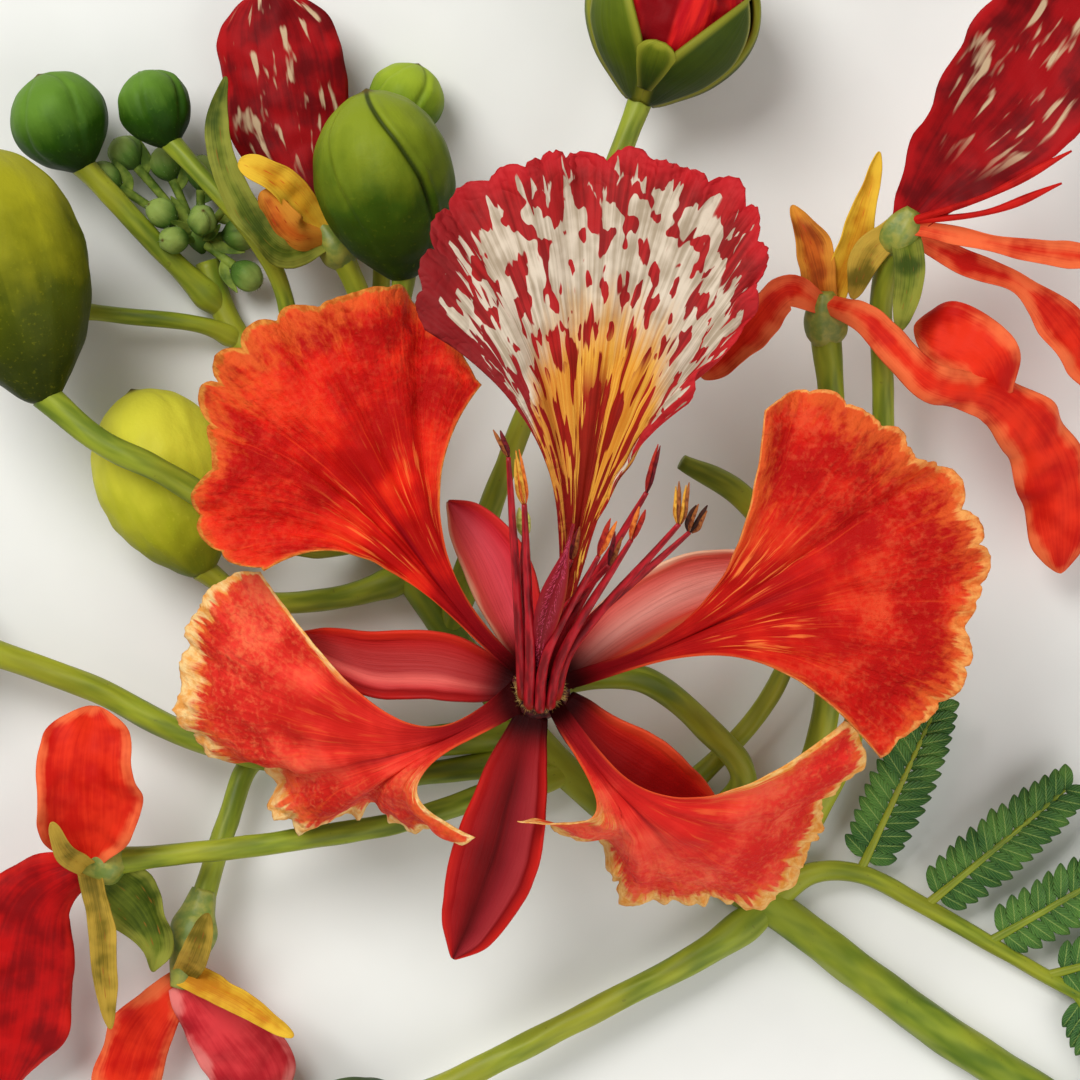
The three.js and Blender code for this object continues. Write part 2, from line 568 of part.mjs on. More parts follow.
olderBloom("lower_bloom_one", {
  stalk: [[4.5, -12, 2.5], [-7, -15, 7], [-19, -18.5, 11], [-39, -21.5, 14], [-56, -23.3, 15]],
  top: [-61.5, -24, 16],
  cup: [1.7, 2.8, 2.8, 2],
  straps: [
    { spine: [[-60, -23.5, 17], [-60, -15, 22], [-59.5, -7.5, 23], [-59, -2.5, 20]],
      halfWidths: [1.8, 6.6, 6.2, 3], fold: 0.3, rows: 6, columns: 4 },
    { spine: [[-60, -24, 15], [-54, -29.5, 13], [-51.5, -35, 12.5], [-52, -38.5, 12]],
      halfWidths: [1.8, 4.2, 3, 0.8], rows: 5 },
    { spine: [[-60, -24.5, 16.5], [-58.5, -31, 18], [-58, -38.5, 16.5], [-57.5, -46, 14]],
      halfWidths: [1.6, 1.7, 1.6, 0.7], rows: 5 },
    { spine: [[-60.5, -24, 17], [-62.5, -21.5, 23.5], [-64, -17.5, 27]], halfWidths: [1.4, 1.5, 0.7],
      rows: 4 },
    { spine: [[-60.5, -24, 15], [-68, -29, 13], [-71, -39.5, 11], [-73, -55, 8]],
      halfWidths: [1.8, 6.5, 8.4, 5], fold: -0.25, rows: 6, columns: 4 },
  ],
});

olderBloom("lower_bloom_two", {
  stalk: [[1.5, -9.5, 2.5], [-9.5, -11.5, 3.4], [-22, -12.5, 3], [-33, -9.5, 3], [-39, -10.5, 3.4],
    [-42.5, -19, 5.5], [-45.5, -28.5, 7.5]],
  top: [-49, -41, 9],
  cup: [1.6, 2.2, 3.2, 2.8, 2],
  straps: [
    { spine: [[-48, -39, 9.5], [-41, -42, 13], [-33, -47, 14]], halfWidths: [1.8, 1.8, 0.8], rows: 5 },
    { spine: [[-48, -39, 9.5], [-46, -35.5, 16], [-44, -30, 20]], halfWidths: [1.6, 1.8, 0.8], rows: 4 },
    { spine: [[-48.4, -40, 8.5], [-42.5, -47.5, 7.5], [-38.5, -53, 5.8], [-36.5, -57.5, 3.8]],
      halfWidths: [1.8, 5, 6, 3], fold: -0.2, rows: 5, columns: 4 },
    { spine: [[-48.4, -40, 8.5], [-54, -47.5, 7.5], [-56.5, -54.5, 5.5], [-58, -60, 3.5]],
      halfWidths: [1.8, 4, 4.6, 2.4], fold: -0.2, rows: 5, columns: 2 },
  ],
});

// Cluster of the youngest buds round the tip of the main stalk: each sits on a short stalk of its own,
// which is sunk a little into it.
const tipCentre = [-46.5, 60.5, 2.4];
const youngest = [
  { apex: [-61, 70, 6.5], radius: 2.2 }, { apex: [-58, 74, 4], radius: 2.4 },
  { apex: [-52, 73, 3], radius: 2.2 }, { apex: [-53, 65, 7], radius: 2 },
  { apex: [-46, 72, 3], radius: 2.1 }, { apex: [-40, 68, 4.5], radius: 2.2 },
  { apex: [-38.5, 61.5, 4], radius: 2.3 }, { apex: [-45.5, 64, 8.5], radius: 2 },
  { apex: [-38, 54, 5], radius: 2.1 }, { apex: [-51, 60, 8.5], radius: 1.9 },
];
const youngLength = 5;
const sunk = 0.8;
const cluster = [egg([-46, 58.6, 1.9], [-47.5, 64, 3.2], 1.7, smallEggOutline, 6)];
for (const { apex, radius } of youngest) {
  const away = vector(apex).sub(vector(tipCentre));
  const base = vector(apex).addScaledVector(away, -youngLength / away.length());
  const inside = base.clone().addScaledVector(away, sunk / away.length());
  cluster.push(egg(base.toArray(), apex, radius, smallEggOutline, 6));
  cluster.push(limb([tipCentre, base.toArray(), inside.toArray()], [0.7, 0.6], { sides: 4, rings: 2 }));
}
add(spray, "tip_cluster", toGeometry(clearOf(joined(cluster), taken)), tipFinish);

// One leaf, cut short: a stalk with toothed blades, which stand for rows of small leaflets
const leafStalk = [[31.5, -30, 2.7], [37, -26, 2.6], [43.5, -26, 2.4], [52.5, -30.5, 2.2], [69, -40, 2],
  [80.5, -46.5, 2]];
const teeth = 7;
const toothLength = 4.6;
const ribHalfWidth = 0.8;
const bareFoot = 0.12; // share of a blade's length before its first tooth
const toothed = 0.86; // share of its length with teeth
const toothLean = 0.45; // where along its foot a tooth has its point
const pinnae = [
  { foot: [43.5, -26, 2.4], tip: [54, -3, 4] }, { foot: [52.5, -30.5, 2.2], tip: [72, -14, 4] },
  { foot: [61, -35.5, 2.1], tip: [84, -22, 4] }, { foot: [69, -40, 2], tip: [94, -33, 3] },
  { foot: [80, -46.2, 2], tip: [98, -53, 2.4] }, { foot: [73, -42.2, 2], tip: [82, -57, 1.6] },
];
function pinna({ foot, tip }) {
  const span = vector(tip).sub(vector(foot));
  const length = span.length();
  const toothStep = toothed / teeth;
  const outline = [[0, ribHalfWidth]];
  for (let tooth = 0; tooth < teeth; tooth++) {
    const start = bareFoot + tooth * toothStep;
    const reach = toothLength * Math.sin(Math.PI * THREE.MathUtils.lerp(0.2, 0.82, tooth / (teeth - 1)));
    outline.push([length * (start + toothLean * toothStep), ribHalfWidth + reach]);
    outline.push([length * (start + toothStep), ribHalfWidth]);
  }
  const far = [...outline].reverse().map(([x, y]) => [x, -y]);
  const shape = new THREE.Shape([...outline, [length, 0], ...far].map(([x, y]) => new THREE.Vector2(x, y)));
  const blade = new THREE.ExtrudeGeometry(shape, { depth: leafletThickness, bevelEnabled: false });
  blade.translate(0, 0, -leafletThickness / 2);
  blade.rotateY(-Math.asin(span.z / length));
  blade.rotateZ(Math.atan2(span.y, span.x));
  blade.translate(...foot);
  return blade;
}
const leafParts = [limb(leafStalk, [1.7, 1.5, 1.3, 1.1], { rings: 8 }), ...pinnae.map(pinna)];
add(spray, "leaf", toGeometry(clearOf(joined(leafParts), taken)), leafFinish);

// The origin is under the middle of the spray, on the surface it lies on.
const extent = new THREE.Box3().setFromObject(spray, true);
const middle = extent.getCenter(new THREE.Vector3());
spray.position.set(-middle.x, -middle.y, -extent.min.z);

export default spray;
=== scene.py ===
# %% [markdown]
# # A flowering spray of a flame tree
# This script dresses a packed model of a cut spray: one open bloom that faces up, the stalk it grows
# from, buds of all ages, older blooms and one leaf, laid down on a pale floor. The plain solids of
# the frame say where each piece is and how far it reaches. Here each of them gets its real skin.
#
# A flower is a bunch of thin curved sheets and round stalks. They could be sculpted by hand or
# grown with modifiers, but the folds and colours of a petal follow its veins. So each sheet is
# worked out from its veins with NumPy, and handed to Blender as a finished mesh.

# %% Load the frame
import math

import bmesh
import bpy
import numpy as np
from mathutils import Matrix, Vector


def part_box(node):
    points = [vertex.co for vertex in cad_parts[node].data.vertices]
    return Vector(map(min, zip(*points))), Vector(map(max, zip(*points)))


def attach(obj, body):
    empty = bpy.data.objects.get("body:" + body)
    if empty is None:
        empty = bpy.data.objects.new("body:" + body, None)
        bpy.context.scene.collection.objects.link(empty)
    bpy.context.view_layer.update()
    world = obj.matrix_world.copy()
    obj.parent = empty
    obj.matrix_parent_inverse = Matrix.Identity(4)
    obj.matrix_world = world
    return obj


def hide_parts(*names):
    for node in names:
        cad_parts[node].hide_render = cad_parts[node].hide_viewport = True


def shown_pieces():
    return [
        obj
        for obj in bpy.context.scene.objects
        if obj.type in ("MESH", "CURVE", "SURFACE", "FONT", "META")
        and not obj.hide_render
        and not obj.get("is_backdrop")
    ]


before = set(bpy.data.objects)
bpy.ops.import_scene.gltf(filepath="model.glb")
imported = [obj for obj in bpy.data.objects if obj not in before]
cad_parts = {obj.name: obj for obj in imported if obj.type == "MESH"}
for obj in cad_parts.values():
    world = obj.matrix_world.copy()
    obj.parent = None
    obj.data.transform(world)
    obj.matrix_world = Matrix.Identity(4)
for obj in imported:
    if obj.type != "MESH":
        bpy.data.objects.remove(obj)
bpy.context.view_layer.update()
print("solids in the frame:", len(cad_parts))

# %% [markdown]
# ## Places
# All shapes below are worked out in millimetres, as a botanist would measure them, and turned into
# Blender's metres at the end. Petals are measured from the hub of the bloom, and the rest from
# the spot on the floor under it. The hub's own solid in the frame tells where both are.

# %% Units and places
MM = 0.001
UP = np.array([0.0, 0.0, 1.0])
DISC_HEIGHT = 1.2  # the hairy disc in the middle of the bloom stands this high above the hub

low, high = (np.array(corner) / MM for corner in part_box("receptacle"))
spray_origin = np.array([*(low + high)[:2] / 2, 0.0])
hub = spray_origin + UP * (high[2] - DISC_HEIGHT)
print("hub at", hub.round(1), "mm")

# %% [markdown]
# ## Camera
# The photo looks straight into the bloom, so the camera looks straight down on the spray. A long
# lens from 600 mm away keeps the petals in proportion: a close wide lens would swell the stamens.

# %% Camera
PIXEL = 0.13  # millimetres to a pixel of the photo, at the bloom's depth
PICTURE = 1080  # pixels along each side of the photo
HUB_BELOW_CENTRE = 150  # pixels from the middle of the photo down to the hub
DISTANCE = 600.0  # millimetres from the lens to the hub
view_centre = hub + [0, HUB_BELOW_CENTRE * PIXEL, 0]

lens = bpy.data.cameras.new("Camera")
lens.sensor_fit = "HORIZONTAL"
lens.angle = 2 * math.atan(PICTURE / 2 * PIXEL / DISTANCE)
lens.clip_start = 0.02
camera = bpy.data.objects.new("Camera", lens)
camera.location = (view_centre + UP * DISTANCE) * MM
bpy.context.scene.collection.objects.link(camera)
bpy.context.scene.camera = camera
print("camera covers", round(math.degrees(lens.angle), 2), "degrees")

# %% [markdown]
# ## Light
# The light is that of a soft studio: one large lamp at the upper left, a weaker one across from it,
# and a pale sky, so that the folds show. A single small lamp would be simpler, but it would throw
# hard shadows from petal to petal.

# %% Light
def lamp(name, place, size, power):
    """A square lamp that shines at the spray from its place, in metres."""
    light = bpy.data.lights.new(name, "AREA")
    light.size = size
    light.energy = power
    holder = bpy.data.objects.new(name, light)
    holder.location = place
    holder.rotation_euler = holder.location.to_track_quat("Z", "Y").to_euler()
    bpy.context.scene.collection.objects.link(holder)
    print(f"{name}: {power} watts")


lamp("Key", place=(-0.38, 0.42, 0.75), size=0.5, power=6.8)
lamp("Fill", place=(0.5, -0.45, 0.6), size=0.9, power=3.8)
world = bpy.data.worlds.new("Sky")
world.use_nodes = True
sky = world.node_tree.nodes["Background"]
sky.inputs["Color"].default_value = (1.0, 0.99, 0.97, 1.0)
sky.inputs["Strength"].default_value = 0.33
bpy.context.scene.world = world
bpy.context.scene.view_settings.view_transform = "Standard"

# %% [markdown]
# ## Forms in NumPy
# Three small tools make every form here. The first is a smooth line through a few given points, as a
# florist's wire would run. A Blender curve would do for a single stalk, but a line of
# plain points can also be blended with its neighbour, be read at any share of its length, or
# serve as a graph of how a width changes.

# %% Smooth lines
def unit(vectors):
    return vectors / np.maximum(np.linalg.norm(vectors, axis=-1, keepdims=True), 1e-12)


def smooth_line(points, count):
    """Evenly spaced points on a smooth curve through a few given ones."""
    given = np.asarray(points, float)
    given = np.vstack([2 * given[0] - given[1], given, 2 * given[-1] - given[-2]])
    gaps = np.linalg.norm(np.diff(given, axis=0), axis=1)[:, None] ** 0.5
    slopes = np.diff(given, axis=0) / gaps
    t = np.linspace(0, 1, 40, endpoint=False)[:, None]
    runs = []
    for i in range(1, len(given) - 2):
        before, here, after = gaps[i - 1:i + 2]
        leave = slopes[i - 1] + slopes[i] - (given[i + 1] - given[i - 1]) / (before + here)
        arrive = slopes[i] + slopes[i + 1] - (given[i + 2] - given[i]) / (here + after)
        bend = (t - 1) ** 2 * t * leave * here + (t - 1) * t ** 2 * arrive * here
        runs.append(given[i] + (given[i + 1] - given[i]) * t ** 2 * (3 - 2 * t) + bend)
    fine = np.vstack([*runs, given[-2:-1]])
    length = np.concatenate([[0], np.cumsum(np.linalg.norm(np.diff(fine, axis=0), axis=1))])
    even = np.linspace(0, length[-1], count)
    return np.stack([np.interp(even, length, column) for column in fine.T], axis=-1)


def read(line, shares):
    """Points of an evenly spaced line at shares of its length."""
    place = np.asarray(shares) * (len(line) - 1)
    return np.stack([np.interp(place, np.arange(len(line)), column) for column in line.T], axis=-1)


def profile(values, shares):
    """A smooth curve through evenly spaced values, read at shares from 0 to 1."""
    line = smooth_line([[i, value] for i, value in enumerate(values)], 200)
    return np.interp(np.asarray(shares) * (len(values) - 1), line[:, 0], line[:, 1])


print("a line through 3 points:", smooth_line([[0, 0, 0], [5, 2, 0], [9, 0, 0]], 4).round(2).tolist())

# %% [markdown]
# The other two are soft steps, which fade one thing into another, and ripples. A ripple is a sum of
# waves in random directions, whose dice are always thrown from the same seed, so that every run of
# the script gives the same flower. Ripples of several sizes on top of each other make folds,
# frills and a fine crimp, as in crumpled silk.

# %% Steps and ripples
def step(start, end, value):
    """0 before start, 1 after end, and a soft rise between them."""
    t = np.clip((value - start) / (end - start), 0, 1)
    return t * t * (3 - 2 * t)


def ripple(places, size, seed, waves=12):
    """Soft random waves about size across, with heights near 1, at any places."""
    dice = np.random.default_rng(seed)
    ways = unit(dice.normal(size=(waves, places.shape[-1]))) / (size * dice.uniform(0.7, 1.4, (waves, 1)))
    turns = places @ ways.T + dice.uniform(0, 1, waves)
    return np.sin(2 * math.pi * turns).sum(-1) * math.sqrt(2 / waves)


print("a soft step from 0 to 2 mm:", step(0, 2, np.array([0, 0.5, 1, 1.5, 2])).round(2).tolist())

# %% [markdown]
# ## From grids to pieces
# Every form is a grid of points, like a net that is stretched over the petal or the bud. Each point
# also carries four numbers, which the mesh keeps as two UV maps: where the point lies on the form,
# and how far it is from its rim. The finishes read them, so that a streak follows a vein.
#
# A piece may need several nets: the seam of a tube and the two sides of a sheet are joined at the
# end, where points that fall together are merged, and the faces are turned to point outwards.

# %% Shape: nets that become one piece
MERGE_WITHIN = 0.002  # points of a piece this near each other, in millimetres, become one


class Shape:
    """The nets of one piece, with the four numbers and the paint that they carry."""

    def __init__(self):
        self.points, self.values, self.faces, self.paints = [], [], [], []
        self.count = 0

    def lay(self, points, values, paint=0):
        """Adds a net, as squares painted with one of the piece's finishes."""
        rows, columns = points.shape[:2]
        number = np.arange(rows * columns).reshape(rows, columns) + self.count
        squares = np.stack([number[:-1, :-1], number[:-1, 1:], number[1:, 1:], number[1:, :-1]], -1)
        self.points.append(points.reshape(-1, 3))
        self.values.append(np.broadcast_to(values, (rows, columns, 4)).reshape(-1, 4))
        self.faces.append(squares.reshape(-1, 4))
        self.paints.append(np.full(squares.shape[:2], paint).ravel())
        self.count += rows * columns

    def become(self, name, finishes, slot, origin, *nodes):
        """Makes the Blender object, which rides on the frame and stands for the named solids."""
        faces = np.concatenate(self.faces)
        mesh = bpy.data.meshes.new(name)
        mesh.from_pydata(((np.concatenate(self.points) + origin) * MM).tolist(), [], faces.tolist())
        for finish in finishes:
            mesh.materials.append(finish)
        mesh.polygons.foreach_set("material_index", np.concatenate(self.paints).astype("i"))
        values = np.concatenate(self.values)[faces.ravel()].astype("f")
        for first, layer in ((0, "Sheet"), (2, "Edge")):
            mesh.uv_layers.new(name=layer).uv.foreach_set("vector", values[:, first:first + 2].ravel())
        net = bmesh.new()
        net.from_mesh(mesh)
        bmesh.ops.remove_doubles(net, verts=net.verts, dist=MERGE_WITHIN * MM)
        bmesh.ops.recalc_face_normals(net, faces=net.faces)
        net.to_mesh(mesh)
        net.free()
        mesh.shade_smooth()
        piece = bpy.data.objects.new(name, mesh)
        bpy.context.scene.collection.objects.link(piece)
        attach(piece, "root")
        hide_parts(*nodes)
        print(f"{name}: {len(mesh.polygons)} faces")


patch = Shape()
patch.lay(np.zeros((3, 4, 3)), [0, 0, 0, 0])
print("a net of 3 by 4 points has", len(patch.faces[0]), "faces")

# %% [markdown]
# A petal, a sepal and a leaflet are all thin sheets. Blender's Solidify modifier could thicken them,
# but a real petal thins out towards its rim, so that light catches a fine edge. So the sheet's two
# sides are laid here, closer together near the rim, with a narrow band of faces round it.

# %% Sheets
def runs(points, axis):
    """Millimetres from the start of a net's lines to each point, and from there to their end."""
    gaps = np.linalg.norm(np.diff(points, axis=axis), axis=-1)
    start = np.zeros_like(np.take(gaps, [0], axis=axis))
    run = np.concatenate([start, np.cumsum(gaps, axis=axis)], axis=axis)
    return run, np.take(run, [-1], axis=axis) - run


def facing(points):
    """The way each point of a net faces, on its upper side."""
    ways = unit(np.cross(np.gradient(points, axis=1), np.gradient(points, axis=0)))
    return ways * np.sign(ways[..., 2].sum())


def around(net):
    """The points round the rim of a net."""
    return np.concatenate([net[0], net[1:, -1], net[-1, -2::-1], net[-2::-1, 0]])


def lay_sheet(shape, middle, thickness, paints=(0, 0), rim=0.3, taper=4.0):
    """A closed sheet about a net of points. At its rim only a share of its thickness is left."""
    run, rest = runs(middle, 0)
    left, right = runs(middle, 1)
    edge = np.minimum(rest, np.minimum(left, right))
    across = np.broadcast_to(np.linspace(0, 1, middle.shape[1]), run.shape)
    values = np.stack([across, run / (run + rest), edge, run], -1)
    half = thickness / 2 * (rim + (1 - rim) * step(0, taper, edge))[..., None] * facing(middle)
    shape.lay(middle + half, values, paints[0])
    shape.lay(middle - half, values, paints[1])
    band = np.stack([around(middle + half), around(middle - half)])
    shape.lay(band, np.stack([around(values)] * 2), paints[0])


small_net = np.array([[[0, 0, 0], [3, 0, 0]], [[0, 4, 0], [3, 4, 0]]], float)
print("a net of 3 by 4 mm is", runs(small_net, 0)[0].max(), "mm long and faces", facing(small_net)[0, 0])

# %% [markdown]
# Stalks, filaments and threads are tubes. Blender could bevel a curve, but a tube laid as a net can
# swell at its foot, keep its ridges and close in a round tip. Its rings mustn't twist, so each ring
# takes over the last one's direction and only leans it to stay square to the path.

# %% Tubes
def rings_along(line):
    """Two directions square to a line at each of its points, without twist."""
    ways = unit(np.gradient(line, axis=0))
    side = unit(np.cross(ways[0], UP + [0.1, 0.03, 0]))
    sides = []
    for way in ways:
        side = unit(side - way * (side @ way))
        sides.append(side)
    return np.array(sides), np.cross(ways, sides)


def tube(shape, path, radii, rings=40, sides=14, paint=0, ridges=0.0, seed=1):
    """A closed tube. Its radii are read along it, and ridges makes it uneven by that share."""
    line = smooth_line(path, rings)
    beside, over = rings_along(line)
    share = np.linspace(0, 1, rings)
    angle = np.linspace(0, 2 * math.pi, sides + 1)[None, :, None]
    ring = np.cos(angle) * beside[:, None] + np.sin(angle) * over[:, None]
    radius = profile(radii, share)[:, None, None]
    uneven = 1 + ridges * ripple(line[:, None] * 0.25 + ring * 2.2, 2.0, seed)
    points = line[:, None] + ring * radius * uneven[..., None]
    ends = [np.repeat(line[i][None, None], sides + 1, axis=1) for i in (0, -1)]
    points = np.concatenate([ends[0], points, ends[1]])
    share = np.concatenate([[0], share, [1]])
    length = np.linalg.norm(np.diff(line, axis=0), axis=1).sum()
    values = np.stack(np.broadcast_arrays(
        angle[..., 0] / (2 * math.pi), share[:, None], radius.mean(), share[:, None] * length), -1)
    shape.lay(points, values, paint)


beside, over = rings_along(smooth_line([[0, 0, 0], [5, 3, 0], [9, 0, 4]], 20))
print("a ring's two directions are out of square by", np.abs((beside * over).sum(-1)).max().round(6))

# %% [markdown]
# ## Finishes
# A finish is a material painted by nodes. Nodes can be wired by hand in the shader editor, but the
# spray needs about fifty finishes that differ a little, so a small class adds the nodes: each call
# puts one in and returns its output. What is even all over, such as roughness, is set on the
# shader itself. Only what varies, colour and fine relief, comes through nodes.

# %% Workbench: a material and its nodes
def colour(code):
    """A six-figure colour code as the linear values that a shader takes."""
    parts = [int(code[i:i + 2], 16) / 255 for i in (0, 2, 4)]
    return [part / 12.92 if part <= 0.04045 else ((part + 0.055) / 1.055) ** 2.4 for part in parts] + [1.0]


class Workbench:
    """A new material, and the ways to put nodes and sums into it."""

    def __init__(self, name, **numbers):
        self.material = bpy.data.materials.new(name)
        self.material.use_nodes = True
        self.tree = self.material.node_tree
        self.shader = self.tree.nodes["Principled BSDF"]
        for socket, number in numbers.items():
            self.shader.inputs[socket.replace("_", " ")].default_value = number

    def put(self, kind, sockets, out=0, **settings):
        node = self.tree.nodes.new(kind)
        for setting, value in settings.items():
            setattr(node, setting, value)
        for socket, value in sockets.items():
            if isinstance(value, bpy.types.NodeSocket):
                self.tree.links.new(value, node.inputs[socket])
            else:
                node.inputs[socket].default_value = colour(value) if isinstance(value, str) else value
        return node.outputs[out]

    def calc(self, operation, *values):
        """Any number of values put together by one kind of sum."""
        total = values[0]
        for value in values[1:] or [0.0]:
            total = self.put("ShaderNodeMath", {0: total, 1: value}, operation=operation)
        return total

    def times(self, *values):
        return self.calc("MULTIPLY", *values)

    def plus(self, *values):
        return self.calc("ADD", *values)

    def swing(self, value, size):
        """A noise about 0 in place of one about a half, and so many times as strong."""
        return self.times(self.calc("SUBTRACT", value, 0.5), size)

    def fade(self, value, start, end):
        """0 before start, 1 after end, as the step of the forms. It falls where start is larger."""
        if start > end:
            return self.calc("SUBTRACT", 1.0, self.fade(value, end, start))
        sockets = {"Value": value, "From Min": start, "From Max": end}
        return self.put("ShaderNodeMapRange", sockets, interpolation_type="SMOOTHSTEP")


print("scarlet, as a shader takes it:", [round(part, 3) for part in colour("dc1a0e")])

# %% [markdown]
# Petals are streaked along their veins, and stalks and buds are cloudy. Both are noise: read from a
# form's own map it follows the veins, and read from space it has the same grain everywhere. Painted
# pictures could carry the colours too, but noise stays sharp however near the camera comes.

# %% Finish: patterns, blends and relief
class Finish(Workbench):
    """A workbench that knows the patterns of petals, buds and stalks."""

    def map(self, name):
        """The two numbers that a UV map of the shape holds."""
        there = self.put("ShaderNodeUVMap", {}, uv_map=name)
        node = self.put("ShaderNodeSeparateXYZ", {0: there}).node
        return node.outputs[0], node.outputs[1]

    def noise(self, x, y, across, along, seed=0.0, detail=2.0, rough=0.5):
        """Soft noise on a form's own map, with so many cells across and along it."""
        place = self.put("ShaderNodeCombineXYZ", {
            0: self.times(x, across), 1: self.times(y, along), 2: seed})
        sockets = {"Vector": place, "Scale": 1.0, "Detail": detail, "Roughness": rough}
        return self.put("ShaderNodeTexNoise", sockets)

    def grain(self, size, detail=2.0, rough=0.5):
        """Noise in space, with grains of about that many millimetres."""
        place = self.put("ShaderNodeTexCoord", {}, out="Object")
        sockets = {"Vector": place, "Scale": 1 / (size * MM), "Detail": detail, "Roughness": rough}
        return self.put("ShaderNodeTexNoise", sockets)

    def creases(self, size):
        """Narrow wandering furrows, as in crepe paper: 0 in a furrow, and about 0.3 between."""
        return self.calc("ABSOLUTE", self.swing(self.grain(size, detail=1.0), 1.0))

    def ramp(self, value, stops, scale=1.0):
        """A number or a colour read from stops along a value from 0 to 1."""
        output = self.put("ShaderNodeValToRGB", {0: value})
        elements = output.node.color_ramp.elements
        for _ in range(len(stops) - 2):
            elements.new(0.5)
        for element, (place, stop) in zip(elements, stops):
            element.position = place
            element.color = colour(stop) if isinstance(stop, str) else [stop / scale] * 3 + [1.0]
        if isinstance(stops[0][1], str):
            return output
        return self.times(output, scale)

    def blend(self, share, first, second):
        """The first colour where the share is 0, and the second where it is 1."""
        sockets = {0: share, 6: first, 7: second}  # 6, 7 and output 2 are the node's colour sockets
        return self.put("ShaderNodeMix", sockets, out=2, data_type="RGBA")

    def done(self, paint, height=None, depth=0.2):
        """Links the colour, and a relief of so many millimetres."""
        self.tree.links.new(paint, self.shader.inputs["Base Color"])
        if height is not None:
            bump = self.put("ShaderNodeBump", {"Height": height, "Distance": depth * MM, "Strength": 1.0})
            self.tree.links.new(bump, self.shader.inputs["Normal"])
        return self.material


print("a finish can:", ", ".join(name for name in vars(Finish) if not name.startswith("_")))

# %% [markdown]
# ## Floor
# The spray lies on a pale, even surface, and a single square face is enough for it. Its two close
# tones are mixed by a soft grain, so that it isn't blank. It lies a hair below the stalk, so that
# no two faces are in the same place.

# %% Floor
FLOOR_REACH = 3  # metres from its middle to each side
FLOOR_DROP = 0.0004  # metres
floor_finish = Finish("Pale floor", Roughness=0.75)
mottled = floor_finish.blend(floor_finish.grain(9.0), "ebebe6", "f0f0eb")
corners = [(x * FLOOR_REACH, y * FLOOR_REACH, -FLOOR_DROP) for x, y in ((-1, -1), (1, -1), (1, 1), (-1, 1))]
floor_mesh = bpy.data.meshes.new("Floor")
floor_mesh.from_pydata(corners, [], [(0, 1, 2, 3)])
floor_mesh.materials.append(floor_finish.done(mottled))
floor = bpy.data.objects.new("Floor", floor_mesh)
bpy.context.scene.collection.objects.link(floor)
floor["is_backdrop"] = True
print("floor:", 2 * FLOOR_REACH, "metres along each side")

# %% [markdown]
# ## Red petals
# Each of the four red petals narrows to a stiff claw, which opens into a crinkled blade. Veins fan
# out from the claw to a frilled rim, scarlet in the middle and edged with orange and gold.
#
# A vein is one Bezier curve: from the base, past the claw and the throat, to the margin. The table
# gives the first three for the veins at the two ends of the margin, and a few points of the margin.
# It also says, read along the margin, how strong the frills, the golden rim and the flush are. A
# petal sculpted by hand has no veins for its colours to follow, so it is described in this way.

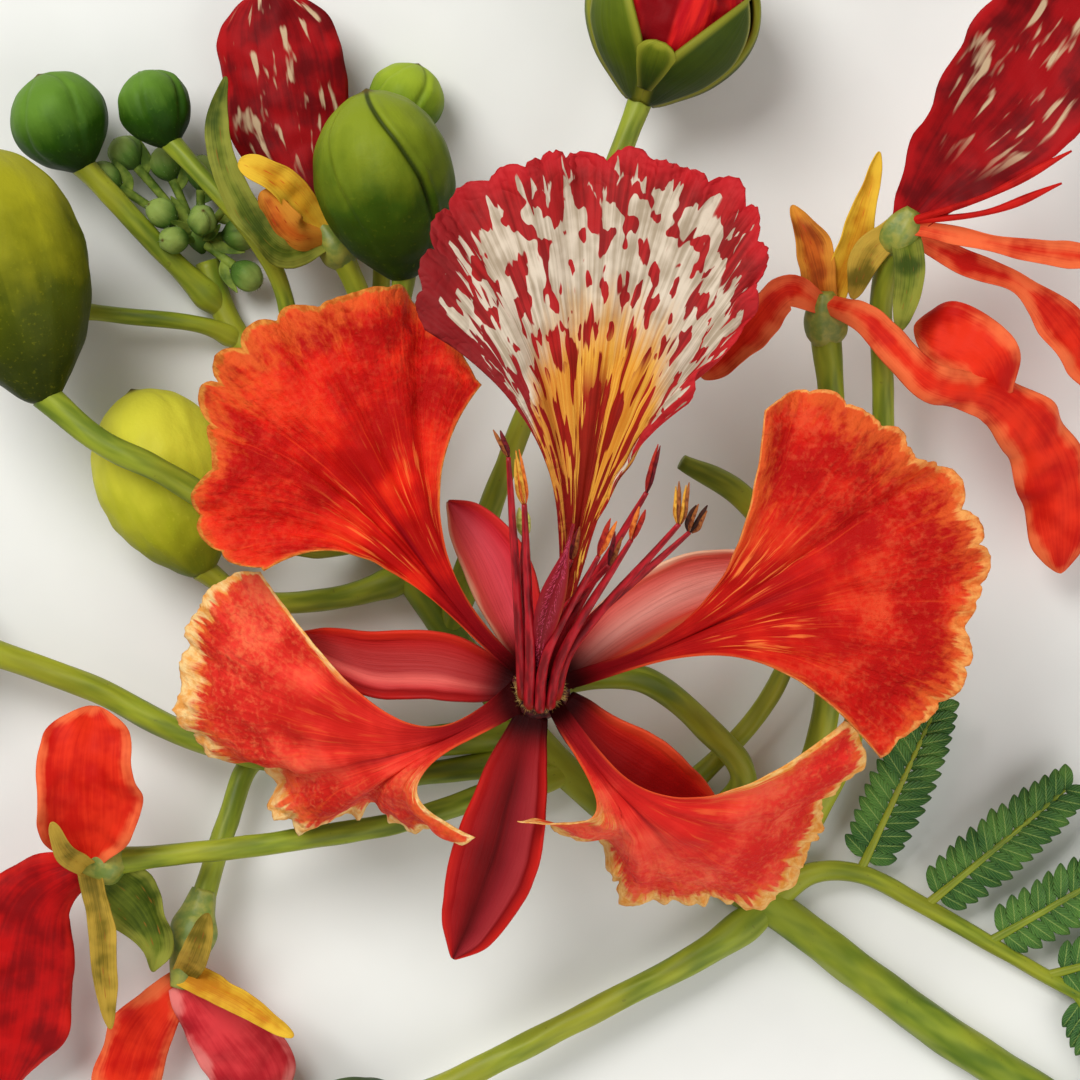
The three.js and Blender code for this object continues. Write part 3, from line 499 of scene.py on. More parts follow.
# %% Red petals: what each one is
red_petals = {
    "petal_upper_left": {
        "base": [[-3, 2, 0.8], [-1.7, 3.1, 0.8]],
        "claw": [[-13, 8.5, 6], [-14, 13, 6]],
        "throat": [[-21.5, 24.5, 10], [-16.5, 28.5, 10]],
        "margin": [
            [-35.5, 15.5, 7], [-41, 17.5, 6], [-44, 21.5, 5], [-44.5, 25.5, 6], [-42, 30.5, 8],
            [-43.5, 37.5, 7], [-40.5, 42.5, 8], [-37, 46, 9], [-32, 49.5, 9], [-25, 51, 8],
            [-18, 52.5, 7], [-15, 50, 4.6], [-11, 44.5, 4.5], [-7.5, 39.5, 5.3],
        ],
        "frill": [0.4, 0.8, 0.7, 1.1, 1.1, 0.9, 0.4, 0.3], "teeth": 0.15, "seed": 11,
        "gold": [(0, 0.2), (0.2, 0.5), (0.4, 1.0), (0.6, 0.7), (0.8, 0.4), (1, 0.15)],
        "flush": [(0, 1.0), (0.25, 2.5), (0.4, 8.0), (0.6, 7.0), (0.75, 3.5), (1, 0.5)],
        "tones": ("ac0c08", "dc1a0e", "f03c1a"), "rim": ("b8581c", "dc8c3c"), "streaks": 0.75, "flecks": 0.12,
    },
    "petal_upper_right": {
        "base": [[3, 2.5, 0.9], [4, 0, 0.9]],
        "claw": [[19.5, 6.5, 5], [17, 3.5, 5]],
        "throat": [[26.5, 13, 9], [27, 12, 9]],
        "margin": [
            [28.5, 36, 13], [31, 38, 12], [37, 38.5, 11], [42, 35.5, 10], [46.5, 33.5, 9],
            [50, 29.5, 9], [53.5, 28, 8], [55, 23, 7], [57.5, 18, 7], [57.5, 13, 7], [55, 7.5, 6],
            [55.5, 3.5, 6], [52, -2, 5], [47, -6, 4], [44, -8.5, 3],
        ],
        "frill": [0.2, 0.5, 1.0, 1.1, 1.0, 0.9, 0.7, 0.4], "teeth": 0.35, "seed": 12,
        "gold": [(0, 0.2), (0.2, 0.4), (0.45, 1.3), (0.65, 1.8), (0.85, 1.2), (0.95, 0.3)],
        "flush": [(0, 2.0), (0.2, 6.0), (0.45, 6.0), (0.65, 4.0), (0.85, 5.0), (0.95, 1.0)],
        "tones": ("b00e0a", "d01a0e", "e23a1c"), "rim": ("e07030", "f0a458"), "streaks": 1.0, "flecks": 0.2,
    },
    "petal_lower_right": {
        "base": [[3.5, -1.5, 0.9], [1.5, -3.5, 0.9]],
        "claw": [[10.5, -13, 8], [6, -12.5, 8]],
        "throat": [[19.5, -20.5, 7], [14, -19, 7]],
        "margin": [
            [39.5, -4, -2], [42, -6, -4], [42.5, -9, -6], [39.5, -15, -10], [38, -21, -13],
            [34, -25, -15], [29.5, -28, -16], [22.5, -27.5, -17], [16.5, -28.5, -17],
            [12.5, -29.5, -17], [10.5, -24.5, -14], [7.5, -22, -10], [3, -20.5, -5], [0, -17.5, -1],
            [-3, -17, 1],
        ],
        "frill": [0.4, 0.6, 0.9, 1, 1.1, 0.9, 0.5, 0.2], "teeth": 0.8, "seed": 13,
        "gold": [(0, 0.8), (0.2, 2.0), (0.45, 3.4), (0.7, 4.4), (0.85, 3.0), (1, 1.0)],
        "flush": [(0, 2.0), (0.2, 4.0), (0.45, 7.0), (0.7, 8.0), (0.85, 6.0), (1, 2.0)],
        "tones": ("d8241e", "f0382c", "fa6048"), "rim": ("e8943c", "f8c478"), "streaks": 0.3, "flecks": 0.4,
    },
    "petal_lower_left": {
        "base": [[-3, -3.6, 0.9], [-4.6, 1.6, 0.9]],
        "claw": [[-13.6, -8.6, 7], [-13.2, -7.6, 7]],
        "throat": [[-23, -12.5, 6], [-20.5, -7.5, 6]],
        "margin": [
            [-8.5, -19, 1], [-10.5, -20, 0], [-13, -18.5, -3], [-17, -19.5, -7], [-20, -17, -10],
            [-28.5, -17.5, -14], [-35, -16.5, -15], [-38, -13, -15], [-43.5, -10.5, -15],
            [-46, -7, -14], [-47, -1.5, -12], [-46.5, 6.5, -9], [-43.5, 12.5, -6], [-40, 15, -4],
            [-36.5, 15.5, -2],
        ],
        "frill": [0.25, 0.45, 0.9, 1.2, 1, 0.6, 0.5, 0.3], "teeth": 1.0, "seed": 14,
        "gold": [(0, 0.4), (0.12, 1.2), (0.3, 2.6), (0.5, 3.6), (0.72, 3.2), (0.9, 1.4), (1, 0.4)],
        "flush": [(0, 2.0), (0.25, 6.0), (0.5, 11.0), (0.72, 6.0), (0.9, 3.0), (1, 1.0)],
        "tones": ("c82018", "ee362a", "f85c44"), "rim": ("eca04c", "fad490"), "streaks": 0.25, "flecks": 0.5,
    },
}
print("red petals:", len(red_petals))

# %% [markdown]
# The veins between the first and the last one are blended, so the whole blade is a fan of them. A
# cloth simulation could crumple it, but its folds can't be told where to go. Here they are lifts
# along the way the petal faces: broad folds down the veins, then frills and a fine crimp that
# grow towards the rim.
#
# The rim's lobes come from letting each vein run on a little or stop short: the square root of a
# wave's height is round on top and comes down to a narrow notch. The two lower petals have strong
# teeth on top of their lobes, and the upper ones weak ones.

# %% The net of a petal
VEINS = 204  # lines of the net from base to rim, and points along each of them
ROWS = 84
BASE_SHARE = 0.8  # the claws start a little nearer the axis than their solids, out of sight
LOBE = 11  # millimetres across a lobe of the rim, and across a tooth
TOOTH = 3.2


def rim_reach(petal, share, round_rim, notch):
    """How far each vein runs, in millimetres past the margin or short of it."""
    seed = petal["seed"]
    lobes = np.abs(ripple(round_rim, LOBE, seed)) ** 0.5
    small = 0.45 * np.abs(ripple(round_rim, TOOTH, seed + 1)) ** 0.6 + 0.1 * ripple(round_rim, 1.2, seed + 7)
    return notch * (profile(petal["frill"], share) * (1.2 * (lobes - 1.0) + petal["teeth"] * small))


def petal_net(petal, notch=1.0, wave=1.0):
    """The net of a clawed petal, with its lobes, folds and frills."""
    share = np.linspace(0, 1, VEINS)
    margin = smooth_line(petal["margin"], VEINS)
    base, claw, throat = (
        np.outer(1 - share, petal[part][0]) + np.outer(share, petal[part][1])
        for part in ("base", "claw", "throat"))
    base = base * [BASE_SHARE, BASE_SHARE, 1.0]
    reach = np.linalg.norm(np.diff(margin, axis=0), axis=1).sum()
    ragged = rim_reach(petal, share, (share * reach)[:, None], notch)
    stop = 1 + ragged / np.linalg.norm(margin - throat, axis=1) / 3
    t = ((1 - (1 - np.linspace(0, 1, ROWS)) ** 1.25)[:, None] * stop)[..., None]
    net = (1 - t) ** 3 * base + 3 * (1 - t) ** 2 * t * claw + 3 * (1 - t) * t ** 2 * throat + t ** 3 * margin

    run, rest = runs(net, 0)
    left, right = runs(net, 1)
    along = run / (run + rest)
    across = left / (left + right)
    vein = np.stack(np.broadcast_arrays(share * reach, run * 0.3), -1)
    seed, teeth = petal["seed"], petal["teeth"]
    folds = 1.2 * ripple(vein * [1, 0.3], 15, seed + 2) * step(20, 0, rest) ** 1.5
    frills = 0.5 * ripple(vein * [1, 0.7], 5.0, seed + 3) * step(7, 0, rest) * (0.5 + 0.5 * teeth)
    crimp = 0.26 * ripple(vein * [1, 1.2], 2.2, seed + 4) * step(4.5, 0, rest) * teeth
    lift = wave * profile(petal["frill"], share) * (folds + frills + crimp)
    in_blade = step(0.3, 0.6, along)
    lift += 0.35 * ripple(vein * [1, 0.15], 12, seed + 5) * in_blade
    lift += 0.13 * ripple(net, 4.5, seed + 6) * in_blade
    # The claw's sides turn up, and a groove runs along its middle
    lift += 1.2 * (2 * across - 1) ** 2 * step(0.62, 0.2, along) * step(0, 0.1, along)
    lift -= 0.8 * np.exp(-((across - 0.5) / 0.08) ** 2) * step(0.8, 0.35, along) * step(0.1, 0.3, along)
    lift *= step(-0.5, 1.5, np.minimum(left, right)) * 0.5 + 0.5
    return net + lift[..., None] * facing(net)


vein_lengths = runs(petal_net(red_petals["petal_upper_left"]), 0)[0][-1]
print("veins of the upper left petal:", vein_lengths.min().round(1), "to", vein_lengths.max().round(1), "mm")

# %% [markdown]
# The petal's skin is satin: scarlet, with fine lines along the veins, and painted shade, near black,
# where the claw goes down into the hub. Orange streaks fan out from the throat on both sides of a
# groove that is darkened as painted shade, and the claw is darkened as painted shade too.
# Towards the rim the scarlet turns orange in crinkled flecks, and a golden rim frays inwards. One
# noise texture with many cells across and few along makes lines that follow the veins,
# because it is read from the petal's own map and not from the space round it.
#
# Two small ramps tell how wide the golden rim and the flush are, in millimetres, from one end of the
# margin to the other: the lower petals have a broad rim, and the upper ones hardly any at the sides.

# %% Red petals: the finish
PETAL_THICKNESS = 0.5
# Painted shade: near black, where petals and sepals go down into the hub
HUB_SHADE = "380406"  # near black, where petals and sepals go down into the hub


def red_petal_finish(name, petal):
    f = Finish(name, Roughness=0.6, Specular_IOR_Level=0.07)
    dark, main, light = petal["tones"]
    across, along = f.map("Sheet")
    edge, run = f.map("Edge")
    lines = f.noise(across, along, 90, 2.5, detail=3)
    streaks = f.noise(across, along, 36, 4.5, seed=3, detail=3, rough=0.6)
    specks = f.noise(across, along, 60, 24, seed=5, detail=3, rough=0.6)
    patches = f.grain(8.0, detail=3)
    furrows = f.creases(2.4)
    to_rim = f.calc("SUBTRACT", f.calc("DIVIDE", run, along), run)
    outer = f.fade(to_rim, 26.0, 8.0)
    crumpled = f.plus(f.grain(0.8, detail=3, rough=0.6), f.swing(patches, 0.7), f.swing(specks, 0.5))

    # Scarlet in three tones, orange flecks in the outer blade, and streaks that fan out from the throat
    paint = f.blend(f.fade(f.plus(patches, f.swing(lines, 0.3)), 0.36, 0.66), dark, main)
    paint = f.blend(f.times(f.fade(f.plus(patches, f.swing(streaks, 0.5)), 0.5, 0.76), 0.6), paint, light)
    paint = f.blend(f.times(f.fade(crumpled, 0.4, 0.8), outer, petal["flecks"]), paint, "f88450")
    from_middle = f.calc("ABSOLUTE", f.swing(across, 1.0))
    throat = f.times(f.fade(along, 0.34, 0.44), f.fade(along, 0.78, 0.5), f.fade(from_middle, 0.03, 0.1))
    paint = f.blend(f.times(throat, f.fade(streaks, 0.56, 0.66), petal["streaks"]), paint, "f47c38")
    paint = f.blend(f.times(f.fade(lines, 0.6, 0.72), f.fade(along, 0.35, 0.5), 0.25), paint, "ec5a24")

    # An orange flush inside the rim, the groove and the claw darkened as painted shade,
    # and a thin painted highlight along the edge
    depth = f.plus(f.calc("DIVIDE", edge, f.ramp(across, petal["flush"], scale=12.0)), f.swing(streaks, 1.4))
    flushed = f.times(f.fade(f.plus(depth, f.swing(specks, 2.4)), 1.1, 0.1), f.fade(along, 0.5, 0.7))
    paint = f.blend(f.times(flushed, 0.7), paint, "e8642a")
    # Painted shade: the groove down the middle and the claw are darkened
    groove = f.times(f.fade(from_middle, 0.05, 0.0), f.fade(along, 0.68, 0.4))
    claw = f.fade(f.plus(along, f.swing(lines, 0.1)), 0.42, 0.14)
    paint = f.blend(f.calc("MAXIMUM", f.times(groove, 0.7), f.times(claw, 0.8)), paint, "840a16")
    # Painted highlight: a thin bright line along the petal's lit edges
    edge_highlight = f.times(f.fade(edge, 0.55, 0.15), f.fade(along, 0.1, 0.25))
    paint = f.blend(f.times(edge_highlight, 0.7), paint, "e8582a")

    # The frayed golden rim, painted shade near black at the foot, and a relief of furrows that are
    # deepest at the rim
    frayed = f.calc("DIVIDE", edge, f.ramp(across, petal["gold"], scale=5.0))
    frayed = f.plus(frayed, f.swing(lines, 3.0), f.swing(specks, 1.6))
    rim = f.times(f.fade(frayed, 1.4, 0.7), f.fade(along, 0.5, 0.7))
    paint = f.blend(rim, paint, f.blend(f.fade(specks, 0.35, 0.65), *petal["rim"]))
    # Painted shade, near black, where the claw goes down into the hub
    paint = f.blend(f.fade(run, 6.5, 1.5), paint, HUB_SHADE)
    crinkled = f.times(furrows, f.plus(f.fade(to_rim, 20.0, 2.0), 0.15), 2.2)
    height = f.plus(crinkled, f.times(lines, 0.35), f.times(crumpled, outer, 0.9))
    return f.done(paint, height, 0.35)


for name, petal in red_petals.items():
    shape = Shape()
    lay_sheet(shape, petal_net(petal), PETAL_THICKNESS)
    finish = red_petal_finish("Red " + name.replace("_", " "), petal)
    shape.become(name, [finish], "petal", hub, name)

# %% [markdown]
# ## The standard
# The fifth petal, the standard, stands up between the others. Its blade is white above and
# yellow below, with crimson spindles that run down the veins and merge into a red claw, and its
# crimson rim is ruffled. It is the same fan of veins as a red petal, with stronger ruffles, so it
# needs no other method.

# %% The standard: its lines
standard = {
    "base": [[-0.9, 3.6, 1.2], [1.5, 3.5, 1.2]],
    "claw": [[4.5, 14.5, 2], [6.5, 17, 2]],
    "throat": [[6.5, 34.5, 7], [6.5, 28.5, 7]],
    "margin": [
        [-15, 46.5, 11], [-15.5, 51.5, 12], [-14, 57, 12], [-11.5, 62.5, 11], [-6, 66.5, 10],
        [1.5, 69.5, 9], [7.5, 69, 8], [13, 69.5, 8], [19, 67, 9], [25, 65, 10], [27.5, 60, 11],
        [29, 55, 11], [27.5, 50, 12], [24.5, 44.5, 12], [20.5, 40, 12], [19, 37, 11],
    ],
    "frill": [0.6, 0.9, 1, 1.1, 1.1, 1.1, 1.1, 1, 0.8, 0.5], "teeth": 0.5, "seed": 21,
}
print("points along the standard's margin:", len(standard["margin"]))

# %% [markdown]
# The pattern comes from one question asked at each point: is a noise along the veins above a limit?
# Where the limit is low, red wins. There are four such noises, each with a window of its own: short
# islands in the white, long spindles in the yellow, a trunk up the middle, and strokes that
# fray the red rim. The highest of the four answers is the one painted, so they never grey each
# other out. A hand-painted picture would do it too, but would blur close by.

# %% The standard: its pattern
def standard_finish():
    f = Finish("Standard petal", Roughness=0.6, Specular_IOR_Level=0.08)
    across, along = f.map("Sheet")
    edge, run = f.map("Edge")
    feather = f.noise(across, along, 80, 9, seed=2, detail=2)
    lines = f.noise(across, along, 110, 3, seed=9, detail=3)
    # The white starts lower down at the sides than in the middle
    from_middle = f.calc("ABSOLUTE", f.swing(across, 2.0))
    to_side = f.times(from_middle, from_middle, f.fade(along, 0.5, 0.66), 0.24)
    zone = f.plus(along, to_side, f.swing(feather, 0.12))

    # The four answers: islands, spindles, trunk and rim
    islands = f.plus(f.noise(across, along, 30, 17, seed=5, detail=1.0), f.swing(feather, 0.08))
    islands = f.plus(islands, f.times(f.fade(along, 0.7, 0.97), 0.06))
    islands = f.times(f.fade(islands, 0.578, 0.595), f.fade(zone, 0.58, 0.66))
    spindles = f.plus(f.noise(across, along, 27, 7, seed=8, detail=1.0), f.swing(feather, 0.16))
    open_blade = f.ramp(along, [(0.18, 0.32), (0.3, 0.45), (0.45, 0.52), (0.62, 0.55), (0.76, 0.62)])
    spindles = f.fade(f.calc("SUBTRACT", spindles, open_blade), -0.005, 0.02)
    off_trunk = f.plus(f.calc("ABSOLUTE", f.plus(across, -0.45)), f.swing(feather, 0.2))
    trunk = f.fade(f.plus(off_trunk, f.times(along, 0.2)), 0.17, 0.155)
    trunk = f.times(trunk, f.fade(along, 0.62, 0.52))
    strokes = f.noise(across, along, 62, 5, seed=4, detail=2)
    rim_stops = [(0, 5.5), (0.12, 6.0), (0.3, 4.4), (0.6, 2.8), (0.8, 3.6), (1, 4.2)]
    rim_width = f.ramp(across, rim_stops, scale=8.0)
    rim_width = f.times(rim_width, f.ramp(along, [(0.45, 0.1), (0.65, 0.25), (0.84, 1.0)]))
    rim = f.fade(f.plus(f.calc("DIVIDE", edge, rim_width), f.swing(strokes, 4.6)), 1.08, 0.98)
    red = f.calc("MAXIMUM", islands, spindles, trunk, rim)

    # The ground they are painted on, yellow below and white above, and their own crimson
    white = f.blend(f.fade(f.plus(lines, f.swing(f.grain(4.0), 0.8)), 0.3, 0.7), "a8967e", "dacab4")
    yellow = f.blend(f.fade(lines, 0.35, 0.65), "d6882a", "e8ae44")
    yellow = f.blend(f.times(f.fade(across, 0.42, 0.2), 0.5), yellow, "b86a30")
    ground = f.blend(f.fade(zone, 0.6, 0.78), yellow, white)
    crimson = f.blend(f.fade(f.plus(lines, f.swing(f.grain(5.0), 0.6)), 0.35, 0.65), "84060e", "ae0a15")
    crimson = f.blend(f.times(f.fade(edge, 4.0, 0.5), 0.7), crimson, "ca1222")
    crimson = f.blend(f.times(f.fade(along, 0.75, 0.35), 0.7), crimson, "78060a")
    crimson = f.blend(f.times(f.fade(across, 0.3, 0.1), f.fade(edge, 9.0, 4.0)), crimson, "880614")
    paint = f.blend(f.times(red, 0.97), ground, crimson)
    # Painted shade: near black where the claw goes down into the hub
    paint = f.blend(f.fade(run, 9.0, 2.0), paint, HUB_SHADE)
    height = f.plus(f.times(lines, 0.15), f.times(f.creases(2.0), f.plus(f.fade(edge, 7.0, 1.0), 0.15), 2.6))
    return f.done(paint, height, 0.35)


shape = Shape()
lay_sheet(shape, petal_net(standard, notch=1.1, wave=0.85), PETAL_THICKNESS)
shape.become("petal_standard", [standard_finish()], "standard", hub, "petal_standard")

# %% [markdown]
# ## Straps: sepals and withered petals
# The five sepals lie behind the petals like a star. Each is a thick strap, crimson and silky on
# the side that shows and green behind, where it was the skin of the bud. Withered petals are
# straps too. A strap has a spine, half-widths read along it, a fold that lifts both its sides and
# a roll that turns up its edges, and its tip is rounded off.

# %% Straps
TIP_HALF = 0.03  # half the width that is left at a strap's tip, in millimetres


def strap_net(spine, half_widths, fold=0.0, rows=60, columns=22, tip=0.14, roll=0.0, ruffle=0.0, seed=1):
    share = 1 - (1 - np.linspace(0, 1, rows)) ** 1.3
    line = read(smooth_line(spine, 300), share)
    ways = unit(np.gradient(line, axis=0))
    side = unit(np.cross(UP, ways))
    lift = np.cross(ways, side)
    past = np.clip((share - 1 + tip) / tip, 0, 1)
    half = (profile(half_widths, share) * np.sqrt(np.maximum(1 - past ** 2, 0.0)) + TIP_HALF)[:, None, None]
    v = np.linspace(-1, 1, columns)[None, :, None]
    curl = fold * v * v + roll * step(0.72, 1.0, np.abs(v))
    net = line[:, None] + side[:, None] * half * v + lift[:, None] * half * curl
    if ruffle:
        wave = ripple(net * 0.8, 7, seed) * 0.6 * np.abs(v[..., 0]) ** 1.5 + ripple(net, 3.4, seed + 1) * 0.1
        net = net + (ruffle * np.minimum(half[..., 0], 3) / 3 * wave)[..., None] * facing(net)
    return net


print("a strap's net, in points:", strap_net([[0, 0, 0], [10, 0, 2]], [1, 2, 1]).shape[:2])

# %% [markdown]
# A sepal's colours lie in bands across it: a bright red edge, a mauve or pink middle, a dark line.
# Some of the bands are painted light and shade: the pale pink bands of the left and the right sepal
# are a painted sheen, and the near black band down the bottom sepal is painted shade in its groove.
# A colour ramp read across the sepal paints them, and noise makes their borders waver. Each
# sepal has bands of its own, from its left edge to its right one, seen from the hub.

# %% Sepals: what each one is
sepals = {
    "sepal_bottom": {
        "spine": [[-1.3, -4.1, -1.8], [-3.5, -13, -3], [-6, -22.5, -6], [-9.5, -32, -10], [-11.5, -36, -12]],
        "half_widths": [2, 4.2, 5.6, 4.6, 1.2],
        # Painted shade: the near black band at 0.46 lies in the sepal's groove
        "bands": [(0, "d02018"), (0.1, "b0181a"), (0.32, "7c0e11"), (0.46, "560709"), (0.66, "8e2026"),
                  (0.84, "a83034"), (0.9, "800e10"), (1, "cc2018")],
    },
    "sepal_left": {
        "spine": [[-4.2, 0.8, -1.8], [-13, 3, -2.5], [-22.5, 3.5, -5], [-29, 5.5, -8], [-32, 7, -10]],
        "half_widths": [1.8, 4, 4.4, 3.4, 1],
        # Painted sheen: the pale pink band at 0.74
        "bands": [(0, "d8301a"), (0.12, "bc2220"), (0.36, "b03230"), (0.6, "ac3230"), (0.74, "e4645a"),
                  (0.84, "cc3c3a"), (0.92, "8c1212"), (1, "b81c18")],
    },
    "sepal_upper_left": {
        "spine": [[-1.3, 4.1, -1.8], [-3.5, 10.5, -1], [-6, 17, -1], [-9.5, 22, -2], [-12, 24.5, -3]],
        "half_widths": [1.7, 3.4, 4.2, 3.4, 1],
        "bands": [(0, "d82e28"), (0.2, "cc2430"), (0.5, "e04a54"), (0.8, "d84648"), (0.95, "d85044"),
                  (1, "f0a884")],
    },
    "sepal_right": {
        "spine": [[3.7, 2.2, -1.8], [11.5, 9, -1], [20, 13.5, -2], [28, 15, -4], [33, 14.5, -6]],
        "half_widths": [2, 3.6, 4.2, 3.4, 1],
        # Painted sheen: the pale pink middle, from 0.24 to 0.72
        "bands": [(0, "d86038"), (0.08, "e8503e"), (0.24, "f48474"), (0.42, "fca898"), (0.56, "fa9c8c"),
                  (0.72, "f07a6c"), (0.86, "e85c50"), (0.94, "e8604a"), (1, "fcc4a0")],
    },
    "sepal_lower_right": {
        "spine": [[3.6, -2.3, -1.8], [9, -7.5, -3], [15, -11.5, -6], [21, -15.5, -10], [24, -17.5, -12]],
        "half_widths": [2, 3.8, 4.4, 3.2, 1],
        "bands": [(0, "900a0c"), (0.4, "980e0e"), (0.74, "a81410"), (0.86, "d02818"), (1, "e8502a")],
    },
}
print("sepals:", len(sepals))

# %% [markdown]
# Behind, a sepal is still the green skin of the bud. One finish can't be red on one side and green
# on the other without asking which side the camera sees, so the two sides of the sheet take a
# finish each.

# %% Sepals: the finishes
SEPAL_THICKNESS = 0.9
ROOT_HEIGHT = -1.6  # a sepal's skin starts at this height, a little nearer the axis than its solid
ROOT_SHARE = 0.78


def sepal_finish(name, bands):
    f = Finish(name, Roughness=0.5, Specular_IOR_Level=0.1)
    across, along = f.map("Sheet")
    _, run = f.map("Edge")
    lines = f.noise(across, along, 24, 2.5, detail=3)
    waver = f.plus(across, f.swing(f.noise(across, along, 3, 2.5, seed=4), 0.14))
    paint = f.ramp(waver, bands)
    paint = f.blend(f.times(f.fade(lines, 0.45, 0.7), 0.2), paint, "8c1014")
    # Painted shade: darker towards the hub, and near black where the sepal goes down into it
    paint = f.blend(f.times(f.fade(along, 0.3, 0.08), 0.7), paint, "8c1014")
    paint = f.blend(f.fade(run, 5.5, 1.0), paint, HUB_SHADE)
    return f.done(paint, f.plus(lines, f.times(f.grain(0.8), 0.3)), 0.14)


def green_back(name):
    f = Finish(name, Roughness=0.5, Specular_IOR_Level=0.35)
    across, along = f.map("Sheet")
    lines = f.noise(across, along, 14, 2, detail=3)
    paint = f.blend(f.fade(lines, 0.35, 0.65), "6f8a2c", "9aa83c")
    paint = f.blend(f.times(f.fade(f.grain(3.0), 0.5, 0.7), 0.5), paint, "a8703a")
    return f.done(paint, f.grain(0.6), 0.15)


sepal_back = green_back("Sepal back")
for number, (name, sepal) in enumerate(sepals.items()):
    x, y, _ = sepal["spine"][0]
    spine = [[ROOT_SHARE * x, ROOT_SHARE * y, ROOT_HEIGHT], *sepal["spine"][1:]]
    net = strap_net(spine, sepal["half_widths"], fold=0.3, rows=80, columns=40, roll=0.16, ruffle=0.25,
                    seed=30 + number)
    shape = Shape()
    lay_sheet(shape, net, SEPAL_THICKNESS, paints=(0, 1), rim=0.45, taper=1.2)
    finish = sepal_finish("Inside of " + name.replace("_", " "), sepal["bands"])
    shape.become(name, [finish, sepal_back], "sepal", hub, name)

# %% [markdown]
# ## Hub, pistil and stamens
# In the middle a small disc with a ring of ochre down carries one pistil and ten stamens, which gather
# and lean towards the standard. The wall of the cup round it is dark crimson, painted near black as
# painted shade. The down could be a hair system, but that is lost when a model is exported, so each
# hair is a slim cone of three faces.

# %% Hairs
def hairs(shape, roots, ways, lengths, radius=0.05, paint=0):
    """Slim three-sided cones that stand on their roots."""
    beside = unit(np.cross(ways, UP + [0.2, 0.1, 0]))
    over = np.cross(ways, beside)
    tips = roots + ways * lengths[:, None]
    for root, tip, b, o, length in zip(roots, tips, beside, over, lengths):
        angle = np.linspace(0, 2 * math.pi, 4)[:, None]
        foot = root + radius * (np.cos(angle) * b + np.sin(angle) * o)
        shape.lay(np.stack([foot, np.repeat(tip[None], 4, axis=0)]), [0.5, 0.5, 0.0, length], paint)


tuft = Shape()
hairs(tuft, np.zeros((2, 3)), np.array([UP, UP]), np.ones(2))
print("two hairs take", tuft.count, "points")

# %% [markdown]
# The cup under the bloom, the disc and the cut face of the stalk are round about an axis, like work
# turned on a lathe. Blender's Screw modifier turns an outline too, but a net laid ring by ring keeps
# the piece's own map for its finish.

# %% Turned forms
def lathe(shape, outline, foot, way, sides=48, paint=0):
    """A round form about an axis. The outline's points are a radius and a height."""
    way = np.asarray(way, float)
    beside = unit(np.cross(way, UP + [0.1, 0.03, 0]))
    over = np.cross(way, beside)
    angle = np.linspace(0, 2 * math.pi, sides + 1)[None, :, None]
    radius, height = (np.asarray(outline)[:, i][:, None, None] for i in (0, 1))
    points = foot + height * way + radius * (np.cos(angle) * beside + np.sin(angle) * over)
    share = np.linspace(0, 1, len(outline))[:, None]
    values = np.stack(np.broadcast_arrays(angle[..., 0] / (2 * math.pi), share, 0.0, height[..., 0]), -1)
    shape.lay(points, values, paint)


button = Shape()
lathe(button, [[0.01, 1], [2, 0.5], [2, 0]], np.zeros(3), UP)
print("a turned button takes", button.count, "points")

# %% [markdown]
# The hub is turned in three parts that meet: the green cup, the dark wall inside it, painted near
# black as painted shade, and the glowing middle of the disc. The down grows round that middle, which
# it leaves bare, and leans outwards.
# The dice thrown from here on are one set, which the anthers, young buds and leaflets draw from too.

# %% The hub
HUB_HAIRS = 900
DISC_REACH = 3.1  # millimetres from the axis to the outermost hairs
hub_parts = [
    (1, 40, [[0.01, -7], [2, -7], [3, -4.8], [3.9, -3], [3.95, -1.6]]),
    (2, 30, [[3.95, -1.6], [3.7, -0.8], [3.0, 0.1], [2.9, 0.9], [2.0, 1.15]]),
    (3, 12, [[2.0, 1.15], [1.0, 1.2], [0.01, 1.1]]),
]


def plain_finish(name, first, second, size, roughness=0.5, depth=0.15, **numbers):
    """Two tones mixed by a fine grain, with a little relief."""
    f = Finish(name, Roughness=roughness, **numbers)
    grain = f.grain(size, detail=3)
    return f.done(f.blend(f.fade(grain, 0.35, 0.65), first, second), grain, depth)


down_finish = plain_finish("Ochre down", "a87834", "dcb868", 0.8, 0.75)
cup_finish = plain_finish("Calyx cup", "6d8030", "98983c", 1.6, 0.5)
# Painted shade: the wall inside the cup is near black, where shade falls round the disc
hub_shade_finish = plain_finish("Hub", "300406", "5c0c10", 0.8, 0.6)
glow_finish = plain_finish("Middle of the disc", "8c2c14", "b85a24", 0.6, 0.6)
dice = np.random.default_rng(5)
shape = Shape()
for paint, rings, outline in hub_parts:
    lathe(shape, smooth_line(outline, rings), np.zeros(3), UP, paint=paint)
turn = dice.uniform(0, 2 * math.pi, HUB_HAIRS)
reach = DISC_REACH * dice.uniform(0.14, 1, HUB_HAIRS) ** 0.5
outward = np.stack([np.cos(turn), np.sin(turn), np.zeros(HUB_HAIRS)], -1)
# The disc is level as far as 2.4 mm from the axis, and falls away beyond
roots = outward * reach[:, None] * [1.0, 0.85, 1.0] + UP * (1.1 - 0.9 * step(2.4, 3.2, reach))[:, None]
ways = unit(outward * (reach[:, None] / 3) ** 2 * 0.9 + UP + dice.normal(0, 0.3, (HUB_HAIRS, 3)))
hairs(shape, roots, ways, dice.uniform(0.6, 1.6, HUB_HAIRS), radius=0.07)
shape.become("receptacle", [down_finish, cup_finish, hub_shade_finish, glow_finish], "hub", hub, "receptacle")

